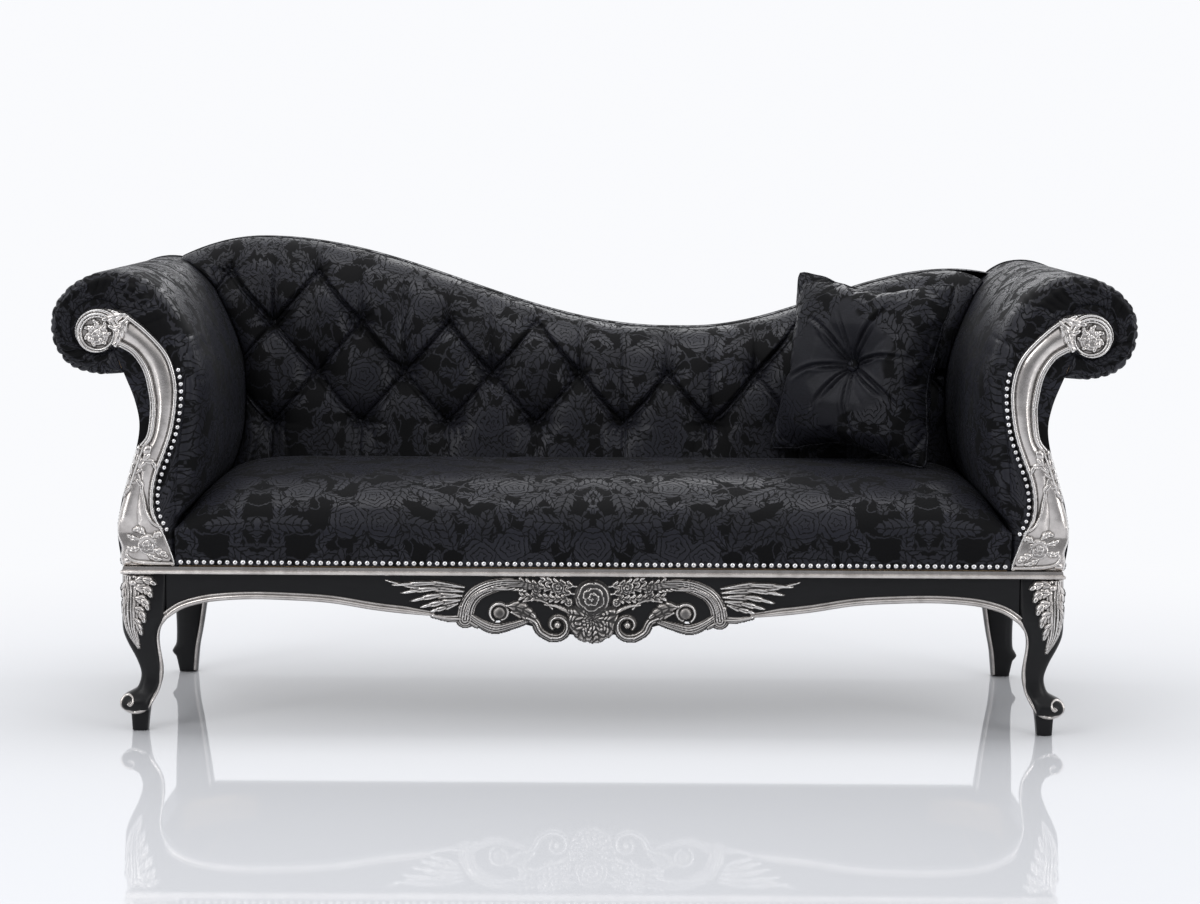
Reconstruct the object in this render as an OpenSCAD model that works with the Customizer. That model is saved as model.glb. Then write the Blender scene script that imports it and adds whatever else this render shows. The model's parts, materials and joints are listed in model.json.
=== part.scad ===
// Baroque chaise longue with scroll arms, a deep-buttoned waved back and a loose pillow.
// X runs along the seat, Y from the front to the back, Z up. The origin is on the floor,
// in the middle of the chaise. The left side is at negative X. Arms and legs are drawn on
// the left and mirrored. An arm outline is a list of [out, up] points: out is measured
// past the end of the rail, up from the top of the moulding.

/* [Overall] */
// Length of the show frame, over the moulding
frame_l = 1746; // [1600:2:1900]
// Depth from the front of the moulding to the top of the back
body_d = 720; // [690:2:760]
// Height of the legs, up to the moulding
leg_h = 300; // [270:1:330]
// Lean of the back, in degrees
rake = 9.5; // [7:0.5:11]

/* [Frame] */
// Height of the moulding that runs round the frame
moulding_h = 14; // [12:1:18]
// Width of the moulding's timber
moulding_w = 50; // [44:1:54]
// Distance that the moulding stands in front of the rails
moulding_out = 15; // [12:1:18]
// Thickness of the front, rear and side rails
rail_t = 30; // [26:1:34]
// Height of the rear and side rails
rail_h = 68; // [56:1:80]
// Set-back of the side rails from the moulding's ends
side_in = 8; // [4:1:12]
// Distance from the moulding's ends to the inner side of the leg blocks
leg_block = 83; // [78:1:90]
// Depth of the leg blocks, front to back
leg_d = 60; // [54:1:64]
// Height of the apron's ears at their highest
ear_drop = 46; // [40:1:54]
// Height of the apron in the middle
crest_drop = 112; // [100:1:120]
// Thickness of the glides under the feet
glide_t = 3; // [2:0.5:5]
// Radius of the glides
glide_r = 11; // [9:0.5:12]

/* [Carving] */
// Width of the silver bead
bead_w = 12; // [8:1:14]
// Height of the bead over the wood
bead_t = 4; // [3:0.5:6]
// Height of the knee leaves over the wood
knee_t = 6; // [4:0.5:8]
// Thickness of the arm facings
facing_t = 12; // [9:1:14]
// Height of the raised edge on the facings
edge_t = 3; // [2:0.5:3]
// Height of the middle carving's ground over the apron
ground_t = 5; // [3:0.5:6]
// Height of the rose over the apron
rose_t = 14; // [10:1:15]

/* [Seat] */
// Height of the seat's crown over the moulding
seat_rise = 163; // [150:1:175]
// Height of the seat's shoulder over the moulding
seat_side = 71; // [64:1:76]
// Height of the seat frame's boards
seat_board_h = 42; // [36:1:46]
// Thickness of the seat frame's boards
seat_board_t = 40; // [34:1:46]
// Thickness of the cover over the seat frame
cover_t = 6; // [5:0.5:8]
// Width of a webbing strap
strap_w = 50; // [40:1:56]
// Thickness of a webbing strap
strap_t = 2; // [1.5:0.5:2.5]
// Number of straps from front to back
straps_along = 13; // [9:1:16]
// Number of straps from side to side
straps_across = 6; // [4:1:7]
// Thickness of the foam core
foam_t = 68; // [56:1:72]
// Distance from the seat's front and sides to the foam core
foam_in = 72; // [66:1:90]

/* [Arms] */
// Thickness of the arm boards
arm_board_t = 30; // [24:1:34]
// Radius of the round head of the arm boards
head_r = 50; // [46:1:52]
// Thickness of the outer arm panels
panel_t = 4; // [3:0.5:5]
// Distance from the facing's edge to the middle of the nails
nail_in = 9; // [8:0.5:10]

/* [Back] */
// Height of the tall end of the back over the moulding
crest_high = 587; // [570:1:600]
// Height of the low end of the back over the moulding
crest_low = 526; // [516:1:540]
// Height of the dip of the back over the moulding
crest_dip = 406; // [390:1:425]
// Thickness of the back's padding
pad_t = 127; // [110:1:132]
// Rounding of the top of the back
crest_round = 130; // [110:1:150]
// Thickness of the back's timbers
back_board_t = 30; // [24:1:34]
// Width of the back's timbers
back_board_w = 56; // [46:1:64]
// Distance between buttons in a row
button_pitch = 178; // [170:1:186]
// Distance between rows of buttons
row_pitch = 100; // [94:1:104]
// Height of the lowest row of buttons over the moulding
row_first = 219; // [210:1:226]
// Depth of the tufts at the buttons
tuft_d = 34; // [24:1:38]
// Depth of the pleats between the buttons
pleat_d = 16; // [8:1:20]
// Radius of the buttons
button_r = 11; // [9:0.5:12]

/* [Nails] */
// Radius of the seat nails
seat_nail_r = 5; // [4:0.25:5.5]
// Distance between seat nails
seat_nail_pitch = 14.3; // [13:0.1:18]
// Radius of the facing nails
arm_nail_r = 4.5; // [3.5:0.25:4.75]
// Distance between facing nails
arm_nail_pitch = 13; // [12:0.1:16]
// Height of the nail heads
nail_h = 3; // [2:0.25:4]

/* [Pillow] */
// Width of the pillow, corner to corner
pillow_w = 366; // [340:1:372]
// Thickness of the pillow's crown
pillow_t = 120; // [100:1:124]
// Turn of the pillow towards the middle of the seat, in degrees
pillow_turn = 36; // [30:1:40]
// Lean of the pillow, in degrees
pillow_lean = 12.5; // [9:0.5:14]
// Thickness of the pillow's cover over the filling
pillow_wall = 12; // [10:1:16]

/* [Hidden] */
$fn = 48;

// Clearances: between fabric forms and what they touch, and between seated solids
soft_gap = 0.4;
fit_gap = 0.3;

rail_half = frame_l / 2;
front_y = -body_d / 2;
rail_y = front_y + moulding_out;
deck = leg_h + moulding_h;
back_y = body_d / 2 - crest_high * tan(rake);
side_x = rail_half - side_in;
leg_x = rail_half - leg_block;
rear_y = back_y - 7;

// The show wood's front planes: the facing stands on the fabric's front
arm_y = rail_y + 8;
facing_y = arm_y - facing_t;

// Seat frame and what lies on it
seat_x = rail_half - 101;
seat_y = rail_y - 4;
board_x = seat_x - cover_t;
board_y = seat_y + cover_t;
web_z = deck + seat_board_h;
foam_z = web_z + 2 * strap_t + soft_gap;
back_low = seat_board_h + 2 * strap_t + 2;
seat_rear = seat_back_y(back_low);
board_rear = plane_y(0, back_board_t + panel_t) - fit_gap;

SILVER = [0.72, 0.69, 0.66];
LACQUER = [0.06, 0.06, 0.065];
FABRIC = [0.13, 0.13, 0.16];
TIMBER = [0.72, 0.58, 0.4];
NICKEL = [0.85, 0.85, 0.86];
FOAM = [0.92, 0.88, 0.7];
JUTE = [0.6, 0.5, 0.34];

// Curves

// A point on the smooth curve between b and c
function blend(a, b, c, d, t) = 0.5 * (2 * b + (c - a) * t
    + (2 * a - 5 * b + 4 * c - d) * t * t + (3 * b - a - 3 * c + d) * t * t * t);

// A smooth curve through the points p, with n steps between two of them
function smooth(p, n) = [
    for (i = [0 : len(p) - 2], k = [0 : n - 1])
        blend(p[max(i - 1, 0)], p[i], p[i + 1], p[min(i + 2, len(p) - 1)], k / n),
    p[len(p) - 1]];

// An arc whose radius runs from r0 to r1
function spiral(c, r0, r1, a0, a1, n) = [for (i = [0 : n])
    let (a = a0 + (a1 - a0) * i / n, r = r0 + (r1 - r0) * i / n)
    c + r * [cos(a), sin(a)]];

function reversed(p) = [for (i = [len(p) - 1 : -1 : 0]) p[i]];
function unit(v) = v / norm(v);
function left_of(v) = [-v.y, v.x];

// The open curve p, moved sideways by d
function beside(p, d) = [for (i = [0 : len(p) - 1])
    p[i] + d * left_of(unit(p[min(i + 1, len(p) - 1)] - p[max(i - 1, 0)]))];

// The closed curve p, moved sideways by d
function inset(p, d) = [for (i = [0 : len(p) - 1])
    p[i] + d * left_of(unit(p[(i + 1) % len(p)] - p[(i + len(p) - 1) % len(p)]))];

// A strip of width w to the left of the open curve p
function strip(p, w) = concat(p, reversed(beside(p, w)));

// Length of the curve p up to each of its points
function run(p, i = 0, sum = 0) = i >= len(p) - 1 ? [sum]
    : concat([sum], run(p, i + 1, sum + norm(p[i + 1] - p[i])));

// The point at distance s along the curve p, whose lengths are r
function at(p, r, s, i = 0) = i >= len(p) - 2 || r[i + 1] >= s
    ? p[i] + (p[i + 1] - p[i]) * (s - r[i]) / (r[i + 1] - r[i])
    : at(p, r, s, i + 1);

// Points at an even pitch along the curve p
function stepped(p, pitch) = let (r = run(p), n = floor(r[len(r) - 1] / pitch))
    [for (k = [0 : n]) at(p, r, k * pitch)];

// A quarter-round rise from 0 to 1
function rise(t) = let (s = max(0, min(1, t))) sqrt(1 - (1 - s) * (1 - s));

// Places

// Y of the plane that lies d in front of the back's rear face, at the height up
function plane_y(up, d) = back_y + up * tan(rake) - d / cos(rake);

// Y of the seat's rear face, just in front of the padding's flat foot
function seat_back_y(up) = plane_y(up, panel_t + back_board_t) - pad_t - 2 * soft_gap;

// An arm outline as it lies on the left
function on_arm(p) = [for (q = p) [-rail_half - q.x, q.y]];

// Extrudes a flat [x, z] outline from y0 to y1
module upright(p, y0, y1, z0 = 0) {
    translate([0, y1, z0])
        rotate([90, 0, 0])
            linear_extrude(y1 - y0)
                polygon(p);
}

// A leaning slab of thickness t, whose front lies d in front of the back's rear face
module slab(d, t) {
    translate([0, back_y, deck])
        rotate([-rake, 0, 0])
            translate([-2 * rail_half, -d, -rail_half])
                cube([4 * rail_half, t, 2 * rail_half]);
}

// Everything behind the plane that lies d in front of the back's rear face
module behind(d) {
    slab(d, rail_half);
}

// A board of the back, with the front view p
module in_back(p, d, t) {
    intersection() {
        upright(p, 0, body_d, deck);
        slab(d, t);
    }
}

// Outlines of the arm

// Outer side, from the moulding to the underside of the roll
arm_side = smooth([[-2, fit_gap], [5, 40], [6, 75], [-4, 130], [-24, 195], [-36, 258],
    [-28, 308], [-9, 357]], 3);

// Skin of the padding, from the seat over the roll to its underside
arm_skin = smooth([[-99, 3], [-98, 74], [-123, 110], [-143, 140], [-160, 200],
    [-163, 270], [-159, 335], [-144, 392], [-119, 447], [-84, 500], [-40, 534],
    [2, 545], [45, 540], [88, 519], [118, 484], [127, 443], [118, 400], [90, 367],
    [45, 354], [14, 355], [-9, 357]], 2);

// The same skin at the arm's front, where it is nailed down round the facing
arm_front = smooth([[-99, 3], [-99, 74], [-103, 105], [-104, 135], [-108, 200],
    [-117, 270], [-124, 335], [-118, 388], [-103, 432], [-76, 480], [-36, 517],
    [4, 534], [42, 531], [83, 511], [111, 480], [120, 443], [111, 405], [84, 375],
    [42, 363], [14, 362], [-9, 360]], 2);

// Middle of the roll, which the head of the boards and the volute share
roll_c = [38, 443];

// Inside of the padding: the neck and head of the arm boards, down to the moulding
arm_core = concat([[-4, 366]], spiral(roll_c, head_r, head_r, -125, 165, 14),
    smooth([[-26, 432], [-66, 370], [-88, 312], [-96, 258], [-84, 195], [-62, 120],
    [-54, 70], [-58, 30], [-62, 3]], 2));

// Edges of the facing, and its volute
facing_inner = smooth([[-101, 0], [-99, 15], [-84, 56], [-66, 92], [-62, 125],
    [-68, 165], [-84, 207], [-100, 255], [-108, 310], [-106, 352], [-92, 394],
    [-62, 430], [-25, 461], [4, 474]], 3);
facing_volute = spiral([38, 431], 46, 32, 100, -140, 22);
facing_outer = smooth([[-4, 404], [-26, 390], [-45, 360], [-54, 320], [-56, 290],
    [-50, 245], [-34, 221], [-22, 185], [-8, 135], [3, 96], [7, 60], [0, 34],
    [2, 14], [-1, 0]], 3);
facing = concat(facing_inner, facing_volute, facing_outer);

// Show frame

// Lower edge of the apron, from the middle to the left leg
apron_edge = smooth([[0, -crest_drop], [-60, -crest_drop + 4], [-120, -93], [-160, -84],
    [-205, -87], [-260, -79], [-330, -73], [-403, -65], [-486, -52], [-569, -ear_drop - 1],
    [-640, -ear_drop], [-700 - leg_x + 790, -ear_drop - 4], [-737 - leg_x + 790, -57],
    [-765 - leg_x + 790, -67], [-leg_x, -84]], 3);

// Holes of the corner screws: radius, depth in a rail, and where they enter it
screw_r = 2.5;
bite = 18;
screw_z = leg_h - 22;
block_arm = 90;
head_h = 3;

module place_corners() {
    for (sx = [-1, 1], sy = [-1, 1])
        mirror_corner(sx, sy)
            children();
}

// Mirrors a front left corner to one of the four, about the middle of the frame
module mirror_corner(sx, sy) {
    mid = (rail_y + rear_y) / 2;
    translate([0, mid, 0])
        mirror([sx > 0 ? 1 : 0, 0, 0])
            mirror([0, sy > 0 ? 1 : 0, 0])
                translate([0, -mid, 0])
                    children();
}

// Where the two screws of the front left corner pass from its block into the rails
screw_spots = [
    [[-leg_x + 55, rail_y + rail_t, screw_z], [90, 0, 0]],
    [[-side_x + rail_t, rail_y + leg_d + 50, screw_z], [0, -90, 0]]];

module screw_holes() {
    place_corners()
        for (s = screw_spots)
            translate(s[0])
                rotate(s[1])
                    translate([0, 0, -block_arm])
                        cylinder(r = screw_r + fit_gap, h = block_arm + bite);
}

module front_apron() {
    left = concat(apron_edge, [[-leg_x, 0]]);
    right = [for (i = [len(left) - 1 : -1 : 1]) [-left[i].x, left[i].y]];
    color(LACQUER)
        difference() {
            upright(concat(left, right), rail_y, rail_y + rail_t, leg_h);
            screw_holes();
        }
}

module rear_rail() {
    color(LACQUER)
        difference() {
            translate([-leg_x, rear_y - rail_t, leg_h - rail_h])
                cube([2 * leg_x, rail_t, rail_h]);
            screw_holes();
        }
}

module left_rail() {
    color(LACQUER)
        difference() {
            translate([-side_x, rail_y + leg_d, leg_h - rail_h])
                cube([rail_t, rear_y - rail_y - 2 * leg_d, rail_h]);
            screw_holes();
        }
}

module right_rail() {
    mirror([1, 0, 0])
        left_rail();
}

// Front view of a front leg, inside and outside, with out measured past the rail's end
leg_inner = concat([[-leg_block, leg_h]], smooth([[-leg_block, leg_h - 84],
    [-70, leg_h - 101], [-65, leg_h - 120], [-66, leg_h - 145], [-71, 120], [-69, 95],
    [-62, 76], [-53, 60], [-46, 37], [-42, glide_t]], 3));
leg_outer = smooth([[-13, glide_t], [-12, 20], [-10, 37], [-2, 40], [5, 47], [7, 57],
    [1, 68], [-12, 75], [-24, 84], [-30, 108], [-22, 136], [-8, leg_h - 134],
    [0, leg_h - 112], [2, leg_h - 90], [1, leg_h - 68], [-5, leg_h - 48],
    [-side_in, leg_h - 24], [-side_in, leg_h]], 3);

// Side view of a front leg, with the distance behind the rails' front
leg_front = smooth([[0, leg_h], [-5, leg_h - 28], [-8, leg_h - 65], [-6, leg_h - 98],
    [1, leg_h - 133], [11, 132], [14, 102], [8, 76], [-3, 62], [-5, 51], [2, 41],
    [12, 36], [14, glide_t]], 3);
leg_back = concat(smooth([[44, glide_t], [46, 37], [49, 62], [47, 90], [45, 120],
    [46, leg_h - 140], [52, leg_h - 100], [leg_d, leg_h - 68]], 3), [[leg_d, leg_h]]);

module leg_side_view(front, back, width) {
    translate([-rail_half - 20, rail_y, 0])
        rotate([90, 0, 90])
            linear_extrude(width)
                polygon(concat(front, back));
}

module front_left_leg() {
    color(LACQUER)
        intersection() {
            upright(on_arm(concat(leg_inner, leg_outer)), rail_y - 40, rail_y + leg_d + 40);
            leg_side_view(leg_front, leg_back, leg_block + 40);
        }
}

module front_right_leg() {
    mirror([1, 0, 0])
        front_left_leg();
}

// A skin of thickness t on the front of a front leg
module leg_skin(t) {
    difference() {
        translate([0, -t, 0])
            leg_side_view(leg_front, leg_back, leg_block + 40);
        leg_side_view(leg_front, leg_back, leg_block + 40);
        translate([-2 * rail_half, rail_y + leg_d / 2, -1])
            cube([2 * rail_half, leg_d, leg_h + 2]);
    }
}

// Outline of the leaf on a knee, inside the leg's own outline
knee_leaf = smooth([[-4, leg_h - 3], [-2, leg_h - 50], [0, leg_h - 92],
    [-9, leg_h - 122], [-26, leg_h - 142], [-31, leg_h - 118], [-42, leg_h - 104],
    [-39, leg_h - 78], [-52, leg_h - 58], [-46, leg_h - 36], [-56, leg_h - 12],
    [-52, leg_h - 3]], 2);

module left_knee_carving() {
    color(SILVER)
        intersection() {
            leg_skin(knee_t);
            upright(on_arm(knee_leaf), rail_y - 40, rail_y + leg_d);
        }
}

module right_knee_carving() {
    mirror([1, 0, 0])
        left_knee_carving();
}

// Left half of the bead: along the apron's edge from the middle carving, then down the leg
bead_start = 296;
bead_edge = concat([for (p = apron_edge) if (p.x < -bead_start) p + [0, leg_h]],
    on_arm([for (p = leg_inner) if (p.y < leg_h - 85 && p.y > 36) p]));

module left_bead() {
    edge = strip(reversed(bead_edge), bead_w);
    difference() {
        upright(edge, rail_y - bead_t, rail_y);
        translate([-2 * rail_half, -body_d, 0])
            cube([2 * rail_half - leg_x, body_d, leg_h]);
    }
    intersection() {
        leg_skin(bead_t);
        upright(edge, rail_y - 40, rail_y + leg_d);
        translate([-2 * rail_half, -body_d, 0])
            cube([2 * rail_half - leg_x, body_d, leg_h]);
    }
}

module apron_bead() {
    color(SILVER)
        for (side = [0, 1])
            mirror([side, 0, 0])
                left_bead();
}

// The middle carving, left half: ground, wing, C-scroll, small rosette and shell

crest_ground = smooth([[0, -14], [-60, -16], [-130, -10], [-205, -12], [-290, -8],
    [-378, -4], [-352, -22], [-300, -34], [-272, -58], [-290, -76], [-240, -80],
    [-205, -92], [-175, -84], [-150, -90], [-128, -80], [-104, -92], [-92, -106],
    [-70, -112], [-50, -106], [-34, -116], [0, -120]], 2);
crest_wing = smooth([[-150, -56], [-196, -26], [-260, -18], [-330, -12], [-372, -6],
    [-320, -28], [-270, -40], [-224, -58], [-180, -74], [-150, -56]], 2);
crest_leaf = smooth([[-52, -18], [-86, -14], [-120, -24], [-136, -44], [-108, -48],
    [-80, -44], [-56, -34], [-52, -18]], 2);
scroll_c = [-69, -95];
volute_c = [-150, -78];
shell_c = [0, -92];
rose_c = [0, -41];
rose_r = 30;

// A raised disc on the apron
module disc(c, r, y0, t) {
    translate([c.x, y0, leg_h + c.y])
        rotate([90, 0, 0])
            cylinder(r = r, h = t);
}

module half_crest() {
    upright(crest_ground, rail_y - ground_t, rail_y, leg_h);
    upright(crest_wing, rail_y - ground_t - 4, rail_y - ground_t / 2, leg_h);
    upright(crest_leaf, rail_y - ground_t - 5, rail_y - ground_t / 2, leg_h);
    disc(scroll_c, 17, rail_y - ground_t / 2, ground_t + 4);
    disc(scroll_c, 8, rail_y - ground_t / 2, ground_t + 6);
    disc(volute_c, 11, rail_y - ground_t / 2, ground_t + 3);
}

module apron_crest() {
    color(SILVER) {
        half_crest();
        mirror([1, 0, 0])
            half_crest();
        disc(rose_c, rose_r, rail_y - 1, rose_t - 6);
        disc(rose_c, rose_r * 0.7, rail_y - 1, rose_t - 3);
        disc(rose_c, rose_r * 0.36, rail_y - 1, rose_t - 1);
        disc(shell_c, 27, rail_y - 1, ground_t + 3);
    }
}

// Section of the moulding: a square-backed ogee with a rounded nose
function moulding_section(w) = [[0, 0], [w - 4, 0], [w - 1, 1.5], [w, 4],
    [w - 1, 6.5], [w - 4, 8], [w - 5, moulding_h], [0, moulding_h]];

module moulding_run(length) {
    rotate([90, 0, 90])
        linear_extrude(length)
            polygon([for (p = moulding_section(moulding_w)) [-p.x, p.y]]);
}

// Keeps what lies over the flat outline p, through the moulding's height
module mitred(p) {
    intersection() {
        children();
        translate([0, 0, leg_h - 1])
            linear_extrude(moulding_h + 2)
                polygon(p);
    }
}

module front_moulding() {
    past = moulding_w + 1;
    color(SILVER)
        mitred([[-rail_half - 1, front_y - 1], [-rail_half + past, front_y + past],
            [rail_half - past, front_y + past], [rail_half + 1, front_y - 1]])
            translate([-rail_half, front_y + moulding_w, leg_h])
                moulding_run(frame_l);
}

module left_moulding() {
    past = moulding_w + 1;
    color(SILVER)
        mitred([[-rail_half - 1, front_y - 1], [-rail_half - 1, back_y + 1],
            [-rail_half + past, back_y + 1], [-rail_half + past, front_y + past]])
            translate([-rail_half + moulding_w, back_y, leg_h])
                rotate([0, 0, -90])
                    moulding_run(back_y - front_y);
}

module right_moulding() {
    mirror([1, 0, 0])
        left_moulding();
}

module rear_moulding() {
    color(SILVER)
        translate([-rail_half + moulding_w, back_y - moulding_w, leg_h])
            cube([frame_l - 2 * moulding_w, moulding_w, moulding_h]);
}

// Rear legs: front view measured from the rail's end, side view from the rear of the frame
rear_leg_outer = smooth([[-8, leg_h], [-6, leg_h - 60], [-5, leg_h - 120], [-7, 110],
    [-5, 66], [1, 52], [4, 45], [0, 38], [-4, 32], [-9, glide_t]], 3);
rear_leg_inner = concat(smooth([[-46, glide_t], [-53, 54], [-62, 96], [-70, 142],
    [-leg_block, leg_h - rail_h]], 3), [[-leg_block, leg_h]]);
rear_leg_back = smooth([[0, leg_h], [2, leg_h - 70], [4, leg_h - 130], [9, 100],
    [18, 50], [26, glide_t]], 3);
rear_leg_front = concat(smooth([[-10, glide_t], [-24, 50], [-36, 100], [-48, leg_h - 130],
    [-leg_d, leg_h - rail_h]], 3), [[-leg_d, leg_h]]);

module rear_left_leg() {
    color(LACQUER)
        intersection() {
            upright(on_arm(concat(rear_leg_outer, rear_leg_inner)), rear_y - 100,
                rear_y + 60);
            translate([-rail_half - 20, rear_y, 0])
                rotate([90, 0, 90])
                    linear_extrude(leg_block + 40)
                        polygon(concat(rear_leg_back, rear_leg_front));
        }
}

module rear_right_leg() {
    mirror([1, 0, 0])
        rear_left_leg();
}

module foot_glides() {
    color(LACQUER)
        for (side = [0, 1])
            mirror([side, 0, 0]) {
                translate([-rail_half + 27.5, rail_y + 29, 0])
                    cylinder(r = glide_r, h = glide_t);
                translate([-rail_half + 27.5, rear_y + 8, 0])
                    cylinder(r = glide_r, h = glide_t);
            }
}

// Glue blocks behind the legs, with a screw into each rail
module corner_blocks() {
    color(TIMBER)
        difference() {
            place_corners()
                translate([0, 0, leg_h - 44])
                    linear_extrude(44)
                        polygon([[-leg_x + block_arm, rail_y + rail_t],
                            [-leg_x, rail_y + rail_t], [-leg_x, rail_y + leg_d],
                            [-side_x + rail_t, rail_y + leg_d],
                            [-side_x + rail_t, rail_y + leg_d + block_arm]]);
            place_corners()
                for (s = screw_spots)
                    translate(s[0])
                        rotate(s[1]) {
                            translate([0, 0, -block_arm])
                                cylinder(r = screw_r + fit_gap, h = block_arm + 1);
                            translate([0, 0, -block_arm - 20])
                                cylinder(r = 2 * screw_r + fit_gap, h = block_arm);
                        }
        }
}

module corner_screws() {
    color(NICKEL)
        place_corners()
            for (s = screw_spots)
                translate(s[0])
                    rotate(s[1]) {
                        translate([0, 0, -20])
                            cylinder(r = screw_r, h = 20 + bite - 1);
                        translate([0, 0, -20 - head_h])
                            cylinder(r = 2 * screw_r, h = head_h);
                    }
}

// Arms

module left_arm_facing() {
    flat = on_arm(facing);
    inner = on_arm(facing_inner);
    outer = on_arm(facing_outer);
    eye = [-rail_half - 38, 431];
    color(SILVER)
        translate([0, 0, deck + fit_gap]) {
            upright(flat, facing_y + edge_t, arm_y);
            upright(strip(inner, 9), facing_y, facing_y + edge_t + 1);
            upright(strip(outer, 9), facing_y, facing_y + edge_t + 1);
            translate([eye.x, facing_y + edge_t + 1, eye.y])
                rotate([90, 0, 0])
                    cylinder(r = 26, h = edge_t + 1);
            translate([eye.x, facing_y + edge_t + 1, eye.y])
                rotate([90, 0, 0])
                    cylinder(r = 12, h = edge_t + 4);
            translate([-rail_half + 46, facing_y + edge_t + 1, 36])
                rotate([90, 0, 0])
                    cylinder(r = 22, h = edge_t + 2);
        }
}

module right_arm_facing() {
    mirror([1, 0, 0])
        left_arm_facing();
}

// Outline of the arm boards: the outer side, the head and the inner side
arm_board = inset(concat(reversed(beside(arm_side, panel_t)), reversed(arm_core)), -soft_gap);

module left_arm_boards() {
    color(TIMBER) {
        upright(on_arm(arm_board), arm_y, arm_y + arm_board_t, deck);
        in_back(on_arm(arm_board), back_board_t + panel_t, back_board_t);
    }
}

module right_arm_boards() {
    mirror([1, 0, 0])
        left_arm_boards();
}

// Lengthwise slats between the two arm boards
module left_arm_rails() {
    from = arm_y + arm_board_t;
    length = body_d;
    color(TIMBER)
        difference() {
            translate([-rail_half, from, deck]) {
                translate([14, 0, 6])
                    cube([34, length, 44]);
                translate([48, 0, 236])
                    cube([36, length, 44]);
                translate([-roll_c.x, 0, roll_c.y])
                    rotate([-90, 0, 0])
                        cylinder(r = head_r * 0.6, h = length);
            }
            behind(back_board_t + panel_t);
        }
}

module right_arm_rails() {
    mirror([1, 0, 0])
        left_arm_rails();
}

module left_arm_panel() {
    color(FABRIC)
        difference() {
            upright(on_arm(strip(arm_side, panel_t)), arm_y, body_d, deck);
            behind(panel_t);
        }
}

module right_arm_panel() {
    mirror([1, 0, 0])
        left_arm_panel();
}

// Rings of the padding: distance behind the arm's front
arm_rings = [0, 3, 8, 18, 38, 68, 105];

// A point of the padding's skin: it rounds from the front outline to the full one
function skin_at(i, s) = let (gap = norm(arm_skin[i] - arm_front[i]),
    reach = max(14, min(100, 2 * gap)))
    arm_front[i] + (arm_skin[i] - arm_front[i]) * rise(s / reach);

// The flat end of a ring of n points, as triangles between its skin and its core
function ring_end(n) = let (a = len(arm_skin) - 1, b = len(arm_core) - 1)
    [for (i = [0 : a - 1]) let (c = n - 1 - round(i * b / a), d = n - 1 - round((i + 1) * b / a))
        each concat([[i, i + 1, c]], c == d ? [] : [[i + 1, d, c]])];

module left_arm_padding() {
    n = len(arm_skin) + len(arm_core);
    front = [for (s = arm_rings) concat(
        [for (i = [0 : len(arm_skin) - 1]) let (p = skin_at(i, s))
            [-rail_half - p.x, arm_y + s, deck + p.y]],
        [for (p = arm_core) [-rail_half - p.x, arm_y + s, deck + p.y]])];
    rear = [for (p = concat(arm_skin, arm_core))
        [-rail_half - p.x, plane_y(p.y, panel_t) - soft_gap, deck + p.y]];
    rings = concat(front, [rear]);
    last = len(rings) - 1;
    color(FABRIC)
        polyhedron(
            points = [for (r = rings) each r],
            faces = concat(
                [for (f = ring_end(n)) reversed(f)],
                [for (f = ring_end(n)) [for (v = f) last * n + v]],
                [for (k = [0 : last - 1], i = [0 : n - 1]) let (j = (i + 1) % n)
                    each [[k * n + i, k * n + j, (k + 1) * n + j],
                        [k * n + i, (k + 1) * n + j, (k + 1) * n + i]]]));
}

module right_arm_padding() {
    mirror([1, 0, 0])
        left_arm_padding();
}

// A domed nail head that faces the front, seated at y
module nail(x, y, z, r) {
    translate([x, y, z])
        rotate([90, 0, 0])
            cylinder(r1 = r, r2 = r * 0.45, h = nail_h, $fn = 24);
}

// The nails run beside the facing from its foot to the head of the panel
nails_from = 62;
nails_to = 352;
nail_path = [for (p = beside(facing_inner, nail_in))
    if (p.y > nails_from && p.y < nails_to) p];

module left_facing_nails() {
    color(NICKEL)
        for (p = stepped(nail_path, arm_nail_pitch))
            nail(-rail_half - p.x, arm_y - fit_gap, deck + p.y, arm_nail_r);
}

module right_facing_nails() {
    mirror([1, 0, 0])
        left_facing_nails();
}

// Seat

module seat_frame() {
    depth = board_rear - board_y;
    color(TIMBER)
        difference() {
            translate([-board_x, board_y, deck])
                cube([2 * board_x, depth, seat_board_h]);
            translate([-board_x + seat_board_t, board_y + seat_board_t, deck - 1])
                cube([2 * (board_x - seat_board_t), depth - 2 * seat_board_t,
                    seat_board_h + 2]);
        }
}

module webbing_across() {
    depth = board_rear - board_y;
    pitch = (depth - strap_w - 4) / (straps_across - 1);
    color(JUTE)
        for (k = [0 : straps_across - 1])
            translate([-board_x + 2, board_y + 2 + k * pitch, web_z])
                cube([2 * board_x - 4, strap_w, strap_t]);
}

module webbing_along() {
    pitch = (2 * board_x - strap_w - 4) / (straps_along - 1);
    color(JUTE)
        for (k = [0 : straps_along - 1])
            translate([-board_x + 2 + k * pitch, board_y + 2, web_z + strap_t])
                cube([strap_w, board_rear - board_y - 4, strap_t]);
}

foam_x = seat_x - foam_in;
foam_y = seat_y + foam_in;

module seat_foam() {
    color(FOAM)
        translate([-foam_x, foam_y, foam_z])
            cube([2 * foam_x, seat_rear - 16 - foam_y, foam_t]);
}

// Side view of the seat from its front edge over the crown to the back, as [y, up]
seat_line = smooth([[seat_y, 2], [seat_y, 18], [seat_y - 4, 42], [seat_y - 4, seat_side - 6],
    [seat_y + 3, seat_side + 18], [seat_y + 22, seat_side + 42],
    [seat_y + 62, seat_rise - 28], [seat_y + 130, seat_rise - 9],
    [seat_y + 230, seat_rise - 1], [seat_y + 330, seat_rise],
    [seat_rear - 50, seat_rise - 1], [seat_rear + 12, seat_rise - 10]], 2);

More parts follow.
